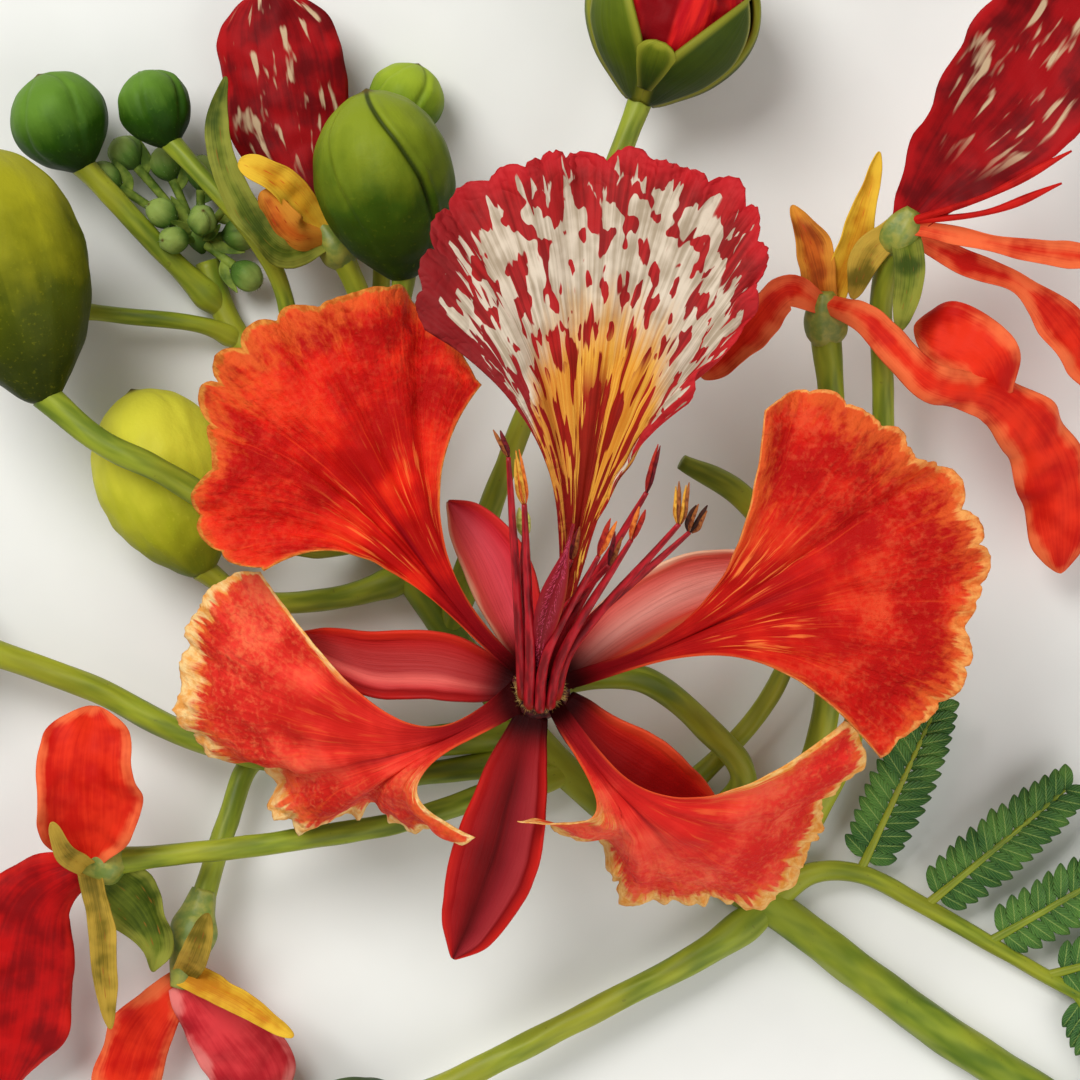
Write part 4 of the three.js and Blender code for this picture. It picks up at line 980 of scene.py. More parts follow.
# %% [markdown]
# The pistil is next year's pod: flat, broad in the middle and drawn in at both ends. Two rows of
# hairs lean together on its upper side, like the barbs of a feather, and its sides are smooth. A
# tube whose radii swell and shrink is enough for it, because its colours, a ramp read round the
# tube that is dark on one side and lighter on the others, are painted shade and light that make its
# sides look flat.

# %% Pistil
PISTIL_HAIRS = 520
PLANTED = 0.2  # pistil and filaments start this far inside the disc
pistil_path = [[0, 0, DISC_HEIGHT - PLANTED], [-0.2, 0.4, 4], [-0.1, 3.3, 6.8], [0.3, 7, 10.6],
               [1.2, 11, 14.8], [2.6, 15.5, 18.2], [4.2, 21.5, 20.5]]
pistil_radii = [0.75, 0.75, 0.8, 0.95, 1.3, 1.65, 1.6, 1.1, 0.35, 0.2]


def pistil_finish():
    f = Finish("Pistil", Roughness=0.5, Specular_IOR_Level=0.25)
    around_it, along = f.map("Sheet")
    lines = f.noise(around_it, along, 9, 12, detail=3)
    # Painted shade and light round the tube: darkest half way round, so that its sides look flat
    paint = f.ramp(around_it, [
        (0, "bc1836"), (0.12, "c8243e"), (0.25, "a00e22"), (0.5, "740a16"), (0.68, "a00e22"), (0.8, "b4542c"),
        (0.88, "c42038"), (1, "bc1836")])
    paint = f.blend(f.times(f.fade(lines, 0.4, 0.7), 0.3), paint, "8c0c1c")
    paint = f.blend(f.fade(along, 0.3, 0.05), paint, "4c080c")
    return f.done(paint, lines, 0.15)


shape = Shape()
tube(shape, pistil_path, pistil_radii, rings=90, sides=28, ridges=0.03, seed=40)
line = smooth_line(pistil_path, 200)
ahead = unit(np.gradient(line, axis=0))
upper = unit(UP - ahead * ahead[:, 2:])
sideways = np.cross(ahead, upper)
spot = dice.integers(50, 185, PISTIL_HAIRS)
turn = np.where(dice.uniform(0, 1, PISTIL_HAIRS) < 0.5, -1, 1) * dice.uniform(0.15, 0.75, PISTIL_HAIRS)
outward = np.cos(turn)[:, None] * upper[spot] + np.sin(turn)[:, None] * sideways[spot]
width = profile(pistil_radii, spot / (len(line) - 1))[:, None]
ways = unit(outward * 0.35 - np.sin(turn)[:, None] * sideways[spot] + ahead[spot] * 0.9)
roots = line[spot] + outward * width * 0.97
hairs(shape, roots, ways, dice.uniform(0.5, 1.0, PISTIL_HAIRS), radius=0.06, paint=1)
pistil_down = plain_finish("Pistil down", "b81c44", "d84a68", 0.5, 0.6)
shape.become("pistil", [pistil_finish(), pistil_down], "sepal", hub, "pistil")

# %% [markdown]
# The stamens' dark crimson filaments taper upwards. An anther is a bundle of slender pouches side by
# side, which split and splay as they age: golden and full where fresh, thin and brown where
# withered. The table says where each anther is, how many pouches it has and how they are coloured.
# One modelled anther could be copied ten times, but no two in a bloom are of the same age.

# %% Stamens: their anthers
# Foot and tip, number of pouches, width of all of them together, and the tones they take in turn
anthers = [
    ([8.8, 16.3, 13.8], [10.2, 20.5, 15.4], 2, 0.9, ("dark", "brown")),
    ([4, 17, 9], [5, 21, 11], 2, 1.0, ("dark", "brown")),
    ([-2, 20, 11], [-2, 23.5, 12], 2, 1.5, ("pale", "pale")),
    ([-4, 30, 15], [-5.5, 34, 15], 2, 0.9, ("brown", "dark")),
    ([-2, 24, 18], [-3, 30.5, 22], 4, 1.5, ("gold", "orange")),
    ([7.4, 17.5, 17], [9.4, 22.5, 20], 2, 1.1, ("red", "orange")),
    ([11.5, 19.5, 18], [13, 24, 21], 2, 1.1, ("orange", "red")),
    ([17.5, 21.5, 19], [18, 27, 21], 4, 1.7, ("gold", "brown")),
    ([19, 20.5, 14], [20.5, 24, 15], 4, 2.0, ("black", "brown")),
    ([13.5, 25.5, 15], [15, 31.5, 17], 2, 0.9, ("red", "dark")),
]
print("anthers:", len(anthers))

# %% [markdown]
# Pollen makes a pouch dusty: a noise read along it mixes a shade and a light tone, lighter towards
# the tip. A filament is streaked, and orange where it leaves the disc. Seven pouch finishes
# are one function called with two colours each.

# %% Stamens: the finishes
def pouch_finish(name, shade, light):
    f = Finish(name, Roughness=0.6, Specular_IOR_Level=0.2)
    around_it, along = f.map("Sheet")
    dust = f.noise(around_it, along, 4, 9, detail=3)
    paint = f.blend(f.fade(f.plus(dust, f.times(along, 0.2)), 0.4, 0.72), shade, light)
    return f.done(paint, dust, 0.1)


def filament_finish():
    f = Finish("Filament", Roughness=0.42, Specular_IOR_Level=0.3)
    around_it, along = f.map("Sheet")
    lines = f.noise(around_it, along, 5, 9, detail=3)
    paint = f.blend(f.fade(lines, 0.35, 0.65), "74060f", "b81824")
    paint = f.blend(f.fade(along, 0.16, 0.04), paint, "a83a1c")
    return f.done(paint, lines, 0.12)


pouch_finishes = {
    "gold": pouch_finish("Golden pouch", "b06a18", "ecb040"),
    "pale": pouch_finish("Pale pouch", "8c9438", "c8cc68"),
    "orange": pouch_finish("Orange pouch", "b03c14", "ec8030"),
    "red": pouch_finish("Red pouch", "7c0e10", "b42c1c"),
    "brown": pouch_finish("Withered pouch", "5c2410", "a8602c"),
    "dark": pouch_finish("Dark pouch", "38080c", "741820"),
    "black": pouch_finish("Dead pouch", "1c0c08", "442014"),
}
filament = filament_finish()
print("pouch finishes:", ", ".join(pouch_finishes))

# %% [markdown]
# The filaments start in a ring on the disc, gather and lean together, and then part. A bundle is
# laid pouch by pouch, as tubes that start together, with their lengths, bends and tips drawn from
# the dice, so that they splay like real ones.

# %% Stamens: filaments and pouches
STAMEN_RING = 2.3  # millimetres from the axis to the filaments' feet
LEAN = np.array([0.8, 6, 8])  # where the gathered filaments pass, from the hub
FILAMENT_RADII = [0.72, 0.7, 0.64, 0.58, 0.48, 0.32]
tone_order = list(pouch_finishes)


def lay_anther(shape, foot, tip, pouches, width, tones):
    """Slender pouches side by side on the end of a filament."""
    foot, tip = np.array(foot, float), np.array(tip, float)
    way = tip - foot
    aside = unit(np.cross(way, UP))
    radius = width / pouches * 0.62
    for number in range(pouches):
        off = (number - (pouches - 1) / 2) * width / pouches * aside
        length = dice.uniform(0.82, 1.05)
        bend = aside * dice.normal(0, 0.12) + UP * dice.uniform(0, 0.3)
        path = [foot + off * 0.4, foot + way * 0.2 + off, foot + way * 0.6 + off * 1.15 + bend,
                foot + way * length + off * dice.uniform(0.9, 1.6) + bend * 2]
        radii = [radius * 0.3, radius, radius, radius * 0.9, radius * 0.25]
        paint = 1 + tone_order.index(tones[number % 2])
        tube(shape, path, radii, rings=26, sides=10, paint=paint, ridges=0.12, seed=number)


for i, anther in enumerate(anthers):
    angle = 2 * math.pi * (i + 2.5) / len(anthers)
    x, y = STAMEN_RING * math.cos(angle), STAMEN_RING * math.sin(angle)
    gathered = [LEAN[0] + 1.5 * x, LEAN[1] + 0.6 * y, LEAN[2] - y]
    path = [[x, y, DISC_HEIGHT - PLANTED], [x, y + 0.5, (LEAN[2] - y) / 2], gathered, anther[0]]
    shape = Shape()
    tube(shape, path, FILAMENT_RADII, rings=60, sides=12, ridges=0.05, seed=50 + i)
    lay_anther(shape, *anther)
    name = f"stamen_{i + 1:02d}"
    shape.become(name, [filament, *pouch_finishes.values()], "stamen", hub, name)

# %% [markdown]
# ## Green stalks
# A green stalk isn't one green: it is yellow where the sun reached it, darker in between, with
# faint lines along it and a few corky dots. The lines are a noise read round the stalk and along its
# length in millimetres, so that they are as long on a short stalk as on a long one. The dots are
# the tops of a fine grain.

# %% Stalk finishes
def stem_finish(name, dark, light):
    f = Finish(name, Roughness=0.45, Specular_IOR_Level=0.28)
    around_it, _ = f.map("Sheet")
    _, length = f.map("Edge")
    lines = f.noise(around_it, length, 6, 0.1, detail=2)
    paint = f.blend(f.fade(lines, 0.3, 0.7), dark, light)
    paint = f.blend(f.times(f.fade(f.grain(16.0), 0.42, 0.66), 0.55), paint, "a8a428")
    dots = f.fade(f.grain(0.8, detail=1), 0.73, 0.78)
    paint = f.blend(f.times(dots, 0.35), paint, "5c5420")
    return f.done(paint, lines, 0.12)


stem = stem_finish("Green stalk", "607418", "96a22a")
old_stem = stem_finish("Main stalk skin", "587018", "8c9a2a")
print("stalk finishes:", stem.name, "and", old_stem.name)

# %% [markdown]
# The main stalk is woody and thick at its cut end, and carries all the others. Its path lies about
# one radius above the floor. The cut face is a turned disc, pale wood with a green rim. A flat cap
# would have a razor's edge, so the disc is rounded there by a twentieth of a millimetre.

# %% Main stalk
main_path = [
    [79, -63.5, 2.9], [50.5, -44.5, 2.8], [31.5, -30.5, 2.7], [16.5, -22, 2.6], [2.5, -11, 2.5],
    [-14, 9, 2.4], [-26, 27.5, 2.2], [-34, 38.5, 2], [-40.5, 46, 1.9], [-43.5, 51.5, 1.8],
    [-45.5, 57.5, 1.7],
]
main_radii = [2.9, 2.75, 2.6, 2.45, 2.3, 2.15, 2.0, 1.85, 1.65]
cut_outline = [[0.01, 0.04], [1.2, 0.05], [2.2, 0.06], [2.84, 0.05], [2.88, 0]]


def cut_finish():
    f = Finish("Cut face", Roughness=0.7)
    _, share = f.map("Sheet")
    fibres = f.grain(0.35, detail=3)
    paint = f.ramp(share, [(0, "e6dfb4"), (0.35, "d3d08c"), (0.8, "c9cf86"), (0.9, "8ba04a"), (1, "6c7c34")])
    return f.done(f.blend(f.times(f.fade(fibres, 0.5, 0.66), 0.5), paint, "b8a868"), fibres, 0.15)


shape = Shape()
tube(shape, main_path, main_radii, rings=190, sides=28, ridges=0.025, seed=70)
cut_way = unit(np.subtract(main_path[0], main_path[1]))
lathe(shape, cut_outline, np.array(main_path[0]), cut_way, sides=40, paint=1)
shape.become("main_stalk", [old_stem, cut_finish()], "stem", spray_origin, "main_stalk")

# %% [markdown]
# Each flower has a stalk of its own, with a swollen foot where it grows out of the main stalk and a
# swollen neck under the flower. One function makes them all from a path and a radius. The bare
# stalk's neck is longer, because its flower is out of sight, and nothing covers its end.

# %% Flower stalks
def flower_stalk(name, path, radius, rings=90, neck=(1.02, 1.18)):
    """A stalk with a swollen foot, which grows out of the main stalk, and a swollen neck."""
    shape = Shape()
    radii = [radius * s for s in (0.9, 1.4, 1.18, 1.05, 1, 1, 1, 1, 1, 1, *neck)]
    tube(shape, path, radii, rings=rings, sides=20, ridges=0.03, seed=sum(map(ord, name)))
    shape.become(name, [stem], "stem", spray_origin, name)


bloom_stalk = [
    [17.5, -22.5, 2.6], [24, -18, 4], [27.5, -12.5, 8], [21.5, -5, 13], [13.5, 1, 17], [4, 1, 19.5],
    [0, 0, hub[2] - 6.6],
]
flower_stalk("bloom_pedicel", bloom_stalk, 1.75, rings=120)
bare_stalk = [[13.5, -20.5, 2.6], [31, -2, 6], [35, 11.5, 8], [27.5, 25, 10], [19, 30, 12]]
flower_stalk("bare_pedicel", bare_stalk, 1.3, neck=(1.0, 1.15, 1.3, 1.2, 0.8))

# %% [markdown]
# ## Buds
# A bud is an egg of five thick sepals that meet edge to edge. Seams run down from its tip: each is a
# shallow groove with a raised lip, strong on one side and faint on the others. A sphere
# stretched by hand would do from afar. Here an egg's outline is turned round the bud's axis, and the
# seams are pressed in as a function of the angle, swung a little like a folded umbrella.

# %% The egg of a bud
SEPALS = 5
GROOVE_WIDTH, GROOVE_DEPTH = 0.5, 0.6  # millimetres
LIP_WIDTH, LIP_HEIGHT, LIP_OFFSET = 0.55, 0.3, 0.9  # the lip lies this far beside the groove
egg_outline = [[0.01, 0], [0.17, 0], [0.42, 0.08], [0.74, 0.22], [0.95, 0.4], [1, 0.56], [0.9, 0.74],
               [0.64, 0.89], [0.3, 0.975], [0.09, 1.0], [0.01, 1.015]]


def bud_axis(base, apex):
    """Length and three directions of a bud: along it, up and sideways."""
    base, apex = np.array(base, float), np.array(apex, float)
    length = np.linalg.norm(apex - base)
    way = (apex - base) / length
    upward = unit(UP - way * way[2])
    return length, way, upward, np.cross(way, upward)


def lay_bud(shape, base, apex, radius, turn=0.4, swirl=0.5, seams=(0.6, 0.3, 0.3, 0.3, 0.4),
            rows=72, sides=132, seed=1):
    """The net of a bud. Seams tells how deep each of the five is pressed in."""
    length, way, upward, sideways = bud_axis(base, apex)
    outline = smooth_line(egg_outline, rows)
    angle = np.linspace(0, 2 * math.pi, sides + 1)[None, :]
    reach, height = outline[:, :1] * radius, outline[:, 1:]
    seam_turn = (angle - turn - swirl * height ** 2) * SEPALS / (2 * math.pi)
    strength = np.array(seams)[np.round(seam_turn).astype(int) % SEPALS] * step(0.05, 0.5, height)
    off = (seam_turn - np.round(seam_turn)) * 2 * math.pi / SEPALS * reach
    groove = np.exp(-(off / GROOVE_WIDTH) ** 2) * strength
    lip = np.exp(-((off - LIP_OFFSET) / LIP_WIDTH) ** 2) * strength
    bulge = 0.012 * np.cos(seam_turn * 2 * math.pi) * step(0.1, 0.5, height)
    reach = reach * (1 - bulge) + (LIP_HEIGHT * lip - GROOVE_DEPTH * groove) * step(0.3, 3.0, reach)
    ring = np.cos(angle)[..., None] * upward + np.sin(angle)[..., None] * sideways
    points = np.array(base) + (height * length)[..., None] * way + reach[..., None] * ring
    points = points + (0.06 * ripple(points, 3.5, seed) * step(0.5, 3.0, reach))[..., None] * ring
    # How much each point faces up; the finish paints that side lighter, as painted light
    lit_side = 0.5 + 0.5 * np.cos(angle)
    values = np.stack(np.broadcast_arrays(angle / (2 * math.pi), height, lit_side, groove), -1)
    shape.lay(points, values)


print("length of a test bud:", bud_axis([0, 0, 0], [3, 4, 0])[0], "mm")

# %% [markdown]
# The skin goes from dark green at the foot, through olive, to a yellow tip. A ramp along the bud
# gives that, noise pushes it a little one way or the other, and the side that looks up is pushed
# towards the lighter tones as painted light. The seams are darkened as painted shade: the net tells
# the finish how deep in a groove each point is.

# %% The skin of the buds
def bud_finish(name, foot, middle, tip, turned=0.0):
    """Three tones from foot to tip. A bud that looks brighter all over has its tones turned up."""
    f = Finish(name, Roughness=0.5, Specular_IOR_Level=0.1)
    around_it, along = f.map("Sheet")
    lit_side, groove = f.map("Edge")
    lines = f.noise(around_it, along, 20, 1.6, detail=3)
    fine = f.grain(0.6, detail=2)
    clouds = f.swing(f.grain(7.0, detail=3), 0.5)
    # Painted light: the side that looks up is pushed towards the lighter tones
    place = f.plus(along, clouds, f.swing(lines, 0.3), f.swing(lit_side, 0.25), turned)
    paint = f.ramp(place, [(0.1, foot), (0.5, middle), (0.9, tip)])
    paint = f.blend(f.times(f.fade(fine, 0.6, 0.75), 0.2), paint, tip)
    # Painted shade: darker the deeper a point lies in a seam's groove
    paint = f.blend(f.times(f.fade(groove, 0.3, 0.9), 0.85), paint, "1c2a08")
    paint = f.blend(f.fade(along, 0.985, 1.01), paint, "5a4a20")
    return f.done(paint, f.plus(f.times(lines, 0.6), f.times(fine, 0.35)), 0.14)


green_bud = bud_finish("Green bud", "1e3206", "3c560a", "82901f")
yellow_bud = bud_finish("Yellow-green bud", "263002", "485004", "9c981a")
pale_bud = bud_finish("Pale bud", "647414", "a6a81e", "d6d03c", 0.1)
fresh_bud = bud_finish("Fresh green bud", "3c5408", "5c7a10", "98ac2c")
young_bud = bud_finish("Young green bud", "142c06", "284a08", "60862a")
print("bud finishes:", [skin.name for skin in (green_bud, yellow_bud, pale_bud, fresh_bud, young_bud)])

# %% [markdown]
# Nine buds stand on their stalks, each as long as the way from its stalk's end to its apex. One
# table holds them all, with the seams that show in the photo. A bud's stalk ends a little inside
# it, so that no gap shows between the two.

# %% The buds
SEAT = 0.8  # millimetres that a stalk goes into its bud
buds = {
    "a": {"stalk": [[-21, 21, 2.3], [-20.5, 31.5, 6], [-19.5, 45, 12], [-18, 54.5, 15]],
          "apex": [-23, 79, 20], "radius": 9.3, "stem": 1.4, "skin": green_bud,
          "turn": 0.8, "swirl": -0.85, "seams": (1, 0.15, 0.1, 0.15, 0.4), "rows": 110, "sides": 220},
    "b": {"stalk": [[-24.5, 26, 2.2], [-22, 38.5, 2.6], [-21.5, 57.5, 3.2], [-20, 74, 4.5]],
          "apex": [-16.5, 84, 6], "radius": 5.2, "stem": 1.2, "skin": fresh_bud, "turn": 0.2},
    "c": {"stalk": [[-43.5, 51, 1.8], [-51, 58.5, 5], [-57, 65, 8], [-61.5, 69.5, 9]],
          "apex": [-67.5, 82, 11], "radius": 6.6, "stem": 1.5, "skin": young_bud,
          "turn": 0.3, "seams": (0.5, 0.4, 0.4, 0.4, 0.4)},
    "d": {"stalk": [[-33.5, 37.5, 2], [-34.5, 52.5, 9.5], [-37.5, 59, 12], [-45.5, 68.5, 12],
                    [-49.5, 72.5, 11]],
          "apex": [-54, 82.5, 10], "radius": 4.9, "stem": 1.2, "skin": young_bud, "turn": 0.8},
    "e": {"stalk": [[-22, 21.5, 2.3], [-31, 19, 9], [-40, 22.5, 17], [-50, 28.5, 22], [-58, 32.5, 22.5],
                    [-65.5, 38, 21.5]],
          "apex": [-74.5, 71, 24], "radius": 10.8, "stem": 1.7, "skin": yellow_bud,
          "seams": (0.12, 0.1, 0.1, 0.1, 0.1)},
    "f": {"stalk": [[-17.5, 14.5, 2.3], [-28.5, 11.5, 4], [-39.5, 11.5, 7], [-45.5, 15, 9.6]],
          "apex": [-55, 39.5, 9.8], "radius": 9.4, "stem": 1.5, "skin": pale_bud,
          "seams": (0.15, 0.1, 0.1, 0.1, 0.1)},
    "k": {"stalk": [[-40.5, 46.5, 1.9], [-45.5, 48.6, 4], [-57, 50, 5], [-61.5, 50.5, 4.6]],
          "apex": [-71, 52, 4.6], "radius": 4.2, "stem": 1.1, "skin": young_bud, "turn": 0.4},
    "l": {"stalk": [[-0.5, -6.5, 2.5], [-16.5, -8, 5], [-32.5, -10.5, 7.5], [-47.5, -7, 7.5],
                    [-59.5, -1, 7.5], [-73, 4, 8], [-77, 5.5, 8.5]],
          "apex": [-98.5, 11.5, 10], "radius": 8.5, "stem": 1.75, "skin": green_bud, "turn": 0.7},
    "m": {"stalk": [[31.5, -30.5, 2.7], [21.5, -37, 5], [8, -44, 6], [-12, -54, 7], [-16.5, -56, 7]],
          "apex": [-36.5, -66, 9], "radius": 7.6, "stem": 1.75, "skin": green_bud, "turn": 0.5},
}
for number, (letter, bud) in enumerate(buds.items()):
    shape = Shape()
    extras = {key: bud[key] for key in ("turn", "swirl", "seams", "rows", "sides") if key in bud}
    lay_bud(shape, bud["stalk"][-1], bud["apex"], bud["radius"], seed=80 + number, **extras)
    shape.become(f"bud_{letter}", [bud["skin"]], "bud", spray_origin, f"bud_{letter}")
    inside = np.array(bud["stalk"][-1]) + unit(np.subtract(bud["apex"], bud["stalk"][-1])) * SEAT
    flower_stalk(f"bud_{letter}_pedicel", [*bud["stalk"][:-1], inside], bud["stem"])

# %% [markdown]
# The widest bud has begun to open: its sepals have parted from the tip down, and the crumpled
# petals swell out between them. A closed bud could be cut apart with a knife tool, but its edges
# would then have to be bent apart by hand. So each sepal is a curved sheet on the same egg as a
# closed bud, between the partings on its two sides.

# %% The opening bud: where its skin is
OPENING_RADIUS = 12
OPENING_THICKNESS = 1.1
SKIN_INSET = 0.6  # the middle of the thick skin lies this far inside the egg
opening_stalk = [[-12.5, 7, 2.4], [-11, 11.5, 5], [-7, 23, 8], [2.5, 48, 11], [11, 72, 12], [13.5, 78.5, 12]]
opening_tip = [21.5, 101, 14]
partings = [(0.16, 0.7), (0.35, 0.3), (0.4, 0.2), (0.4, 0.2), (0.35, 0.3)]  # share closed, and widening


def skin_net(height, start, end, columns, lift=0.0):
    """A net on the opening bud's skin, at heights along it, from one angle to another."""
    length, way, upward, sideways = bud_axis(opening_stalk[-1], opening_tip)
    outline = smooth_line(egg_outline, 400)
    out = np.interp(height, outline[:, 1], outline[:, 0]) * OPENING_RADIUS - SKIN_INSET + lift
    angle = start[:, None] + (end - start)[:, None] * np.linspace(0, 1, columns)
    ring = np.cos(angle)[..., None] * upward + np.sin(angle)[..., None] * sideways
    foot = np.array(opening_stalk[-1]) + (height * length)[:, None] * way
    return foot[:, None] + np.maximum(out, 0.1)[:, None, None] * ring


def half_gap(number, height):
    """Half the angle by which two sepals have parted, at heights along the bud."""
    length = bud_axis(opening_stalk[-1], opening_tip)[0]
    closed, slope = partings[number % SEPALS]
    outline = smooth_line(egg_outline, 400)
    reach = np.interp(height, outline[:, 1], outline[:, 0]) * OPENING_RADIUS
    half = slope * np.maximum(height - closed, 0) * length
    return np.arcsin(np.clip(half / np.maximum(reach, 0.5), 0, 0.98))


print("widest parting near the tip:", half_gap(0, np.array([0.9]))[0].round(2) * 2, "radians")

# %% [markdown]
# A parted sepal's skin is that of a bud, but it has no seam, and its edges are yellow where they
# have come apart. So it has a finish of its own, read from a sheet's map. A short sixth flap stands
# in the widest parting, where the photo shows one.

# %% The opening bud: its sepals
def parted_finish(name, foot, middle, tip):
    f = Finish(name, Roughness=0.5, Specular_IOR_Level=0.1)
    across, along = f.map("Sheet")
    edge, _ = f.map("Edge")
    lines = f.noise(across, along, 14, 1.6, detail=3)
    place = f.plus(along, f.swing(f.grain(7.0, detail=3), 0.6), f.swing(lines, 0.3))
    paint = f.ramp(place, [(0.1, foot), (0.5, middle), (0.9, tip)])
    paint = f.blend(f.times(f.fade(edge, 1.4, 0.2), 0.5), paint, "b0ac38")
    return f.done(paint, lines, 0.1)


# Two copies of one skin: a lighter one as painted light and a darker one as painted shade
opening_skin = [parted_finish("Opening sepal in painted light", "38480a", "5c6c14", "989c2c"),
                parted_finish("Opening sepal in painted shade", "24340a", "3c4c0c", "6c7818")]
shape = Shape()
height = np.linspace(0.005, 0.97, 64)
for number in range(SEPALS):
    start = 2 * math.pi * number / SEPALS + half_gap(number, height)
    end = 2 * math.pi * (number + 1) / SEPALS - half_gap(number + 1, height)
    net = skin_net(height, start, np.maximum(end, start + 0.05), 28)
    # The first three sepals take the copy in painted shade, the other two the one in painted light
    lay_sheet(shape, net, OPENING_THICKNESS, paints=[int(number < 3)] * 2, rim=0.6, taper=1.0)
height = np.linspace(0.08, 0.335, 40)
flap_half_angle = 2.6 / 8.5  # half the flap's width by the bud's radius there
wide = flap_half_angle * np.sqrt(1 - np.clip((height - 0.24) / 0.096, 0, 0.98) ** 2)
# The flap takes the copy in painted shade
lay_sheet(shape, skin_net(height, -wide, wide, 20, lift=0.25), 1.0, paints=(1, 1), rim=0.6, taper=1.0)
shape.become("opening_bud", opening_skin, "bud", spray_origin, "opening_bud")

# %% [markdown]
# The petals inside are an egg too, pressed into deep folds, because a petal is packed like a tissue
# before it unfolds. Its folds may swell out between the sepals, but where the sepals still close
# over it the net is held back, so that no fold comes through their skin.

# %% The opening bud: its packed petals
PACKED_INSET = 1.5  # millimetres from the egg in to the petals
HELD_BACK = 1.9  # and at least so many where the sepals close over them


def opening_petal_finish():
    f = Finish("Packed petals", Roughness=0.55, Specular_IOR_Level=0.08)
    around_it, along = f.map("Sheet")
    _, fold = f.map("Edge")
    lines = f.noise(around_it, along, 46, 2.5, detail=3)
    paint = f.blend(f.fade(lines, 0.35, 0.65), "b40c18", "e0241e")
    # Painted shade: darker in the deep inward folds
    paint = f.blend(f.fade(fold, 0.2, -0.8), paint, "80060e")
    return f.done(paint, f.plus(lines, f.times(f.grain(1.0, detail=3), 0.4)), 0.15)


length, way, upward, sideways = bud_axis(opening_stalk[-1], opening_tip)
outline = smooth_line(egg_outline, 80)
angle = np.linspace(0, 2 * math.pi, 121)[None, :]
ring = np.cos(angle)[..., None] * upward + np.sin(angle)[..., None] * sideways
reach, height = outline[:, :1] * (OPENING_RADIUS - PACKED_INSET), outline[:, 1:]
folds = ripple(ring * 6 + (height * length)[..., None] * way * 0.22, 3.2, 91)
crumple = ripple(ring * 6 + (height * length)[..., None] * way, 2.4, 92)
deep = step(0.2, 4, reach)
reach = reach + (0.75 * folds + 0.22 * crumple) * deep - 0.4
inside_sepals = outline[:, :1] * OPENING_RADIUS - HELD_BACK + 1.5 * step(0.5, 0.8, height)
reach = np.clip(reach, 0, np.maximum(inside_sepals, 0))
points = np.array(opening_stalk[-1]) + (height * length * 0.985)[..., None] * way + reach[..., None] * ring
shape = Shape()
shape.lay(points, np.stack(np.broadcast_arrays(angle / (2 * math.pi), height, 0.0, folds), -1))
shape.become("opening_bud_petals", [opening_petal_finish()], "standard", spray_origin, "opening_bud_petals")
inside = np.array(opening_stalk[-1]) + way * SEAT
flower_stalk("opening_bud_pedicel", [*opening_stalk[:-1], inside], 1.5, rings=120)

# %% [markdown]
# ## Older blooms
# Round the open bloom hang flowers of the days before. Their petals have gone limp, rolled up and
# faded, and two of them still show their standard, crimson and cream. Eight finishes of limp petals
# and sepals come from one function: two tones along the veins, a lighter rim, and blots of a fourth.

# %% Finishes of the older blooms
def faded_finish(name, dark, main, light, patch="", patch_from=0.56, cells=(11, 5.5)):
    """A limp petal: two tones along the veins, a lighter rim, and patches of a fourth tone."""
    f = Finish(name, Roughness=0.6, Specular_IOR_Level=0.1)
    across, along = f.map("Sheet")
    edge, _ = f.map("Edge")
    lines = f.noise(across, along, 24, 2.4, detail=3)
    clouds = f.grain(6.0, detail=3)
    paint = f.blend(f.fade(f.plus(clouds, f.swing(lines, 0.35)), 0.34, 0.66), dark, main)
    outer = f.plus(f.fade(edge, 3.5, 0.3), f.swing(clouds, 2.2), f.swing(lines, 0.4))
    paint = f.blend(f.times(f.fade(outer, 0.5, 1.2), 0.7), paint, light)
    if patch:
        blots = f.plus(f.noise(across, along, *cells, seed=6, detail=2), f.swing(lines, 0.2))
        shown = f.times(
            f.fade(blots, patch_from, patch_from + 0.09), f.fade(along, 0.2, 0.4), f.fade(edge, 0.6, 1.6))
        paint = f.blend(shown, paint, patch)
    height = f.plus(f.times(lines, 0.2), f.times(f.creases(4.0), 0.8))
    return f.done(paint, height, 0.3)


faded = {
    "standard": faded_finish("Old standard", "68050a", "9c0a10", "b01014", "c8ac88", 0.57),
    "scarlet": faded_finish("Limp scarlet petal", "c01408", "e43016", "f67e48"),
    "deep": faded_finish("Limp deep red petal", "84060a", "bc0e0e", "d02016"),
    "pink": faded_finish("Faded pink petal", "b41e28", "d83c40", "f08c84"),
    "orange": faded_finish("Limp orange sepal", "8c3c10", "cc641c", "e4a038", "b43c14", 0.6),
    "yellow": faded_finish("Limp yellow sepal", "c07a18", "dca024", "f0c83c", "d0601c", 0.6),
    "ochre": faded_finish("Old ochre sepal", "6a5c18", "a8862c", "c8a440", "9c4c20", 0.6),
    "olive": faded_finish("Old green sepal", "38480e", "687420", "98983c", "8c5c20", 0.62),
    "cup": cup_finish,
}
faded_order = list(faded)
print("finishes of older blooms:", ", ".join(faded_order))

# %% [markdown]
# One function builds any of these blooms: a calyx cup, then straps for limp petals and sepals, and
# threads for old stamens. Each strap says its finish, its spine, its half-widths and its form. A
# cloth that falls over the stalk would hang as limply, but not as the photo shows it.

# %% One function for older blooms
CUP_SEAT = 0.12  # share of the cup's length that the stalk goes into it
LIMP_ROWS, LIMP_COLUMNS = 64, 26
LIMP_THICKNESS = 0.5


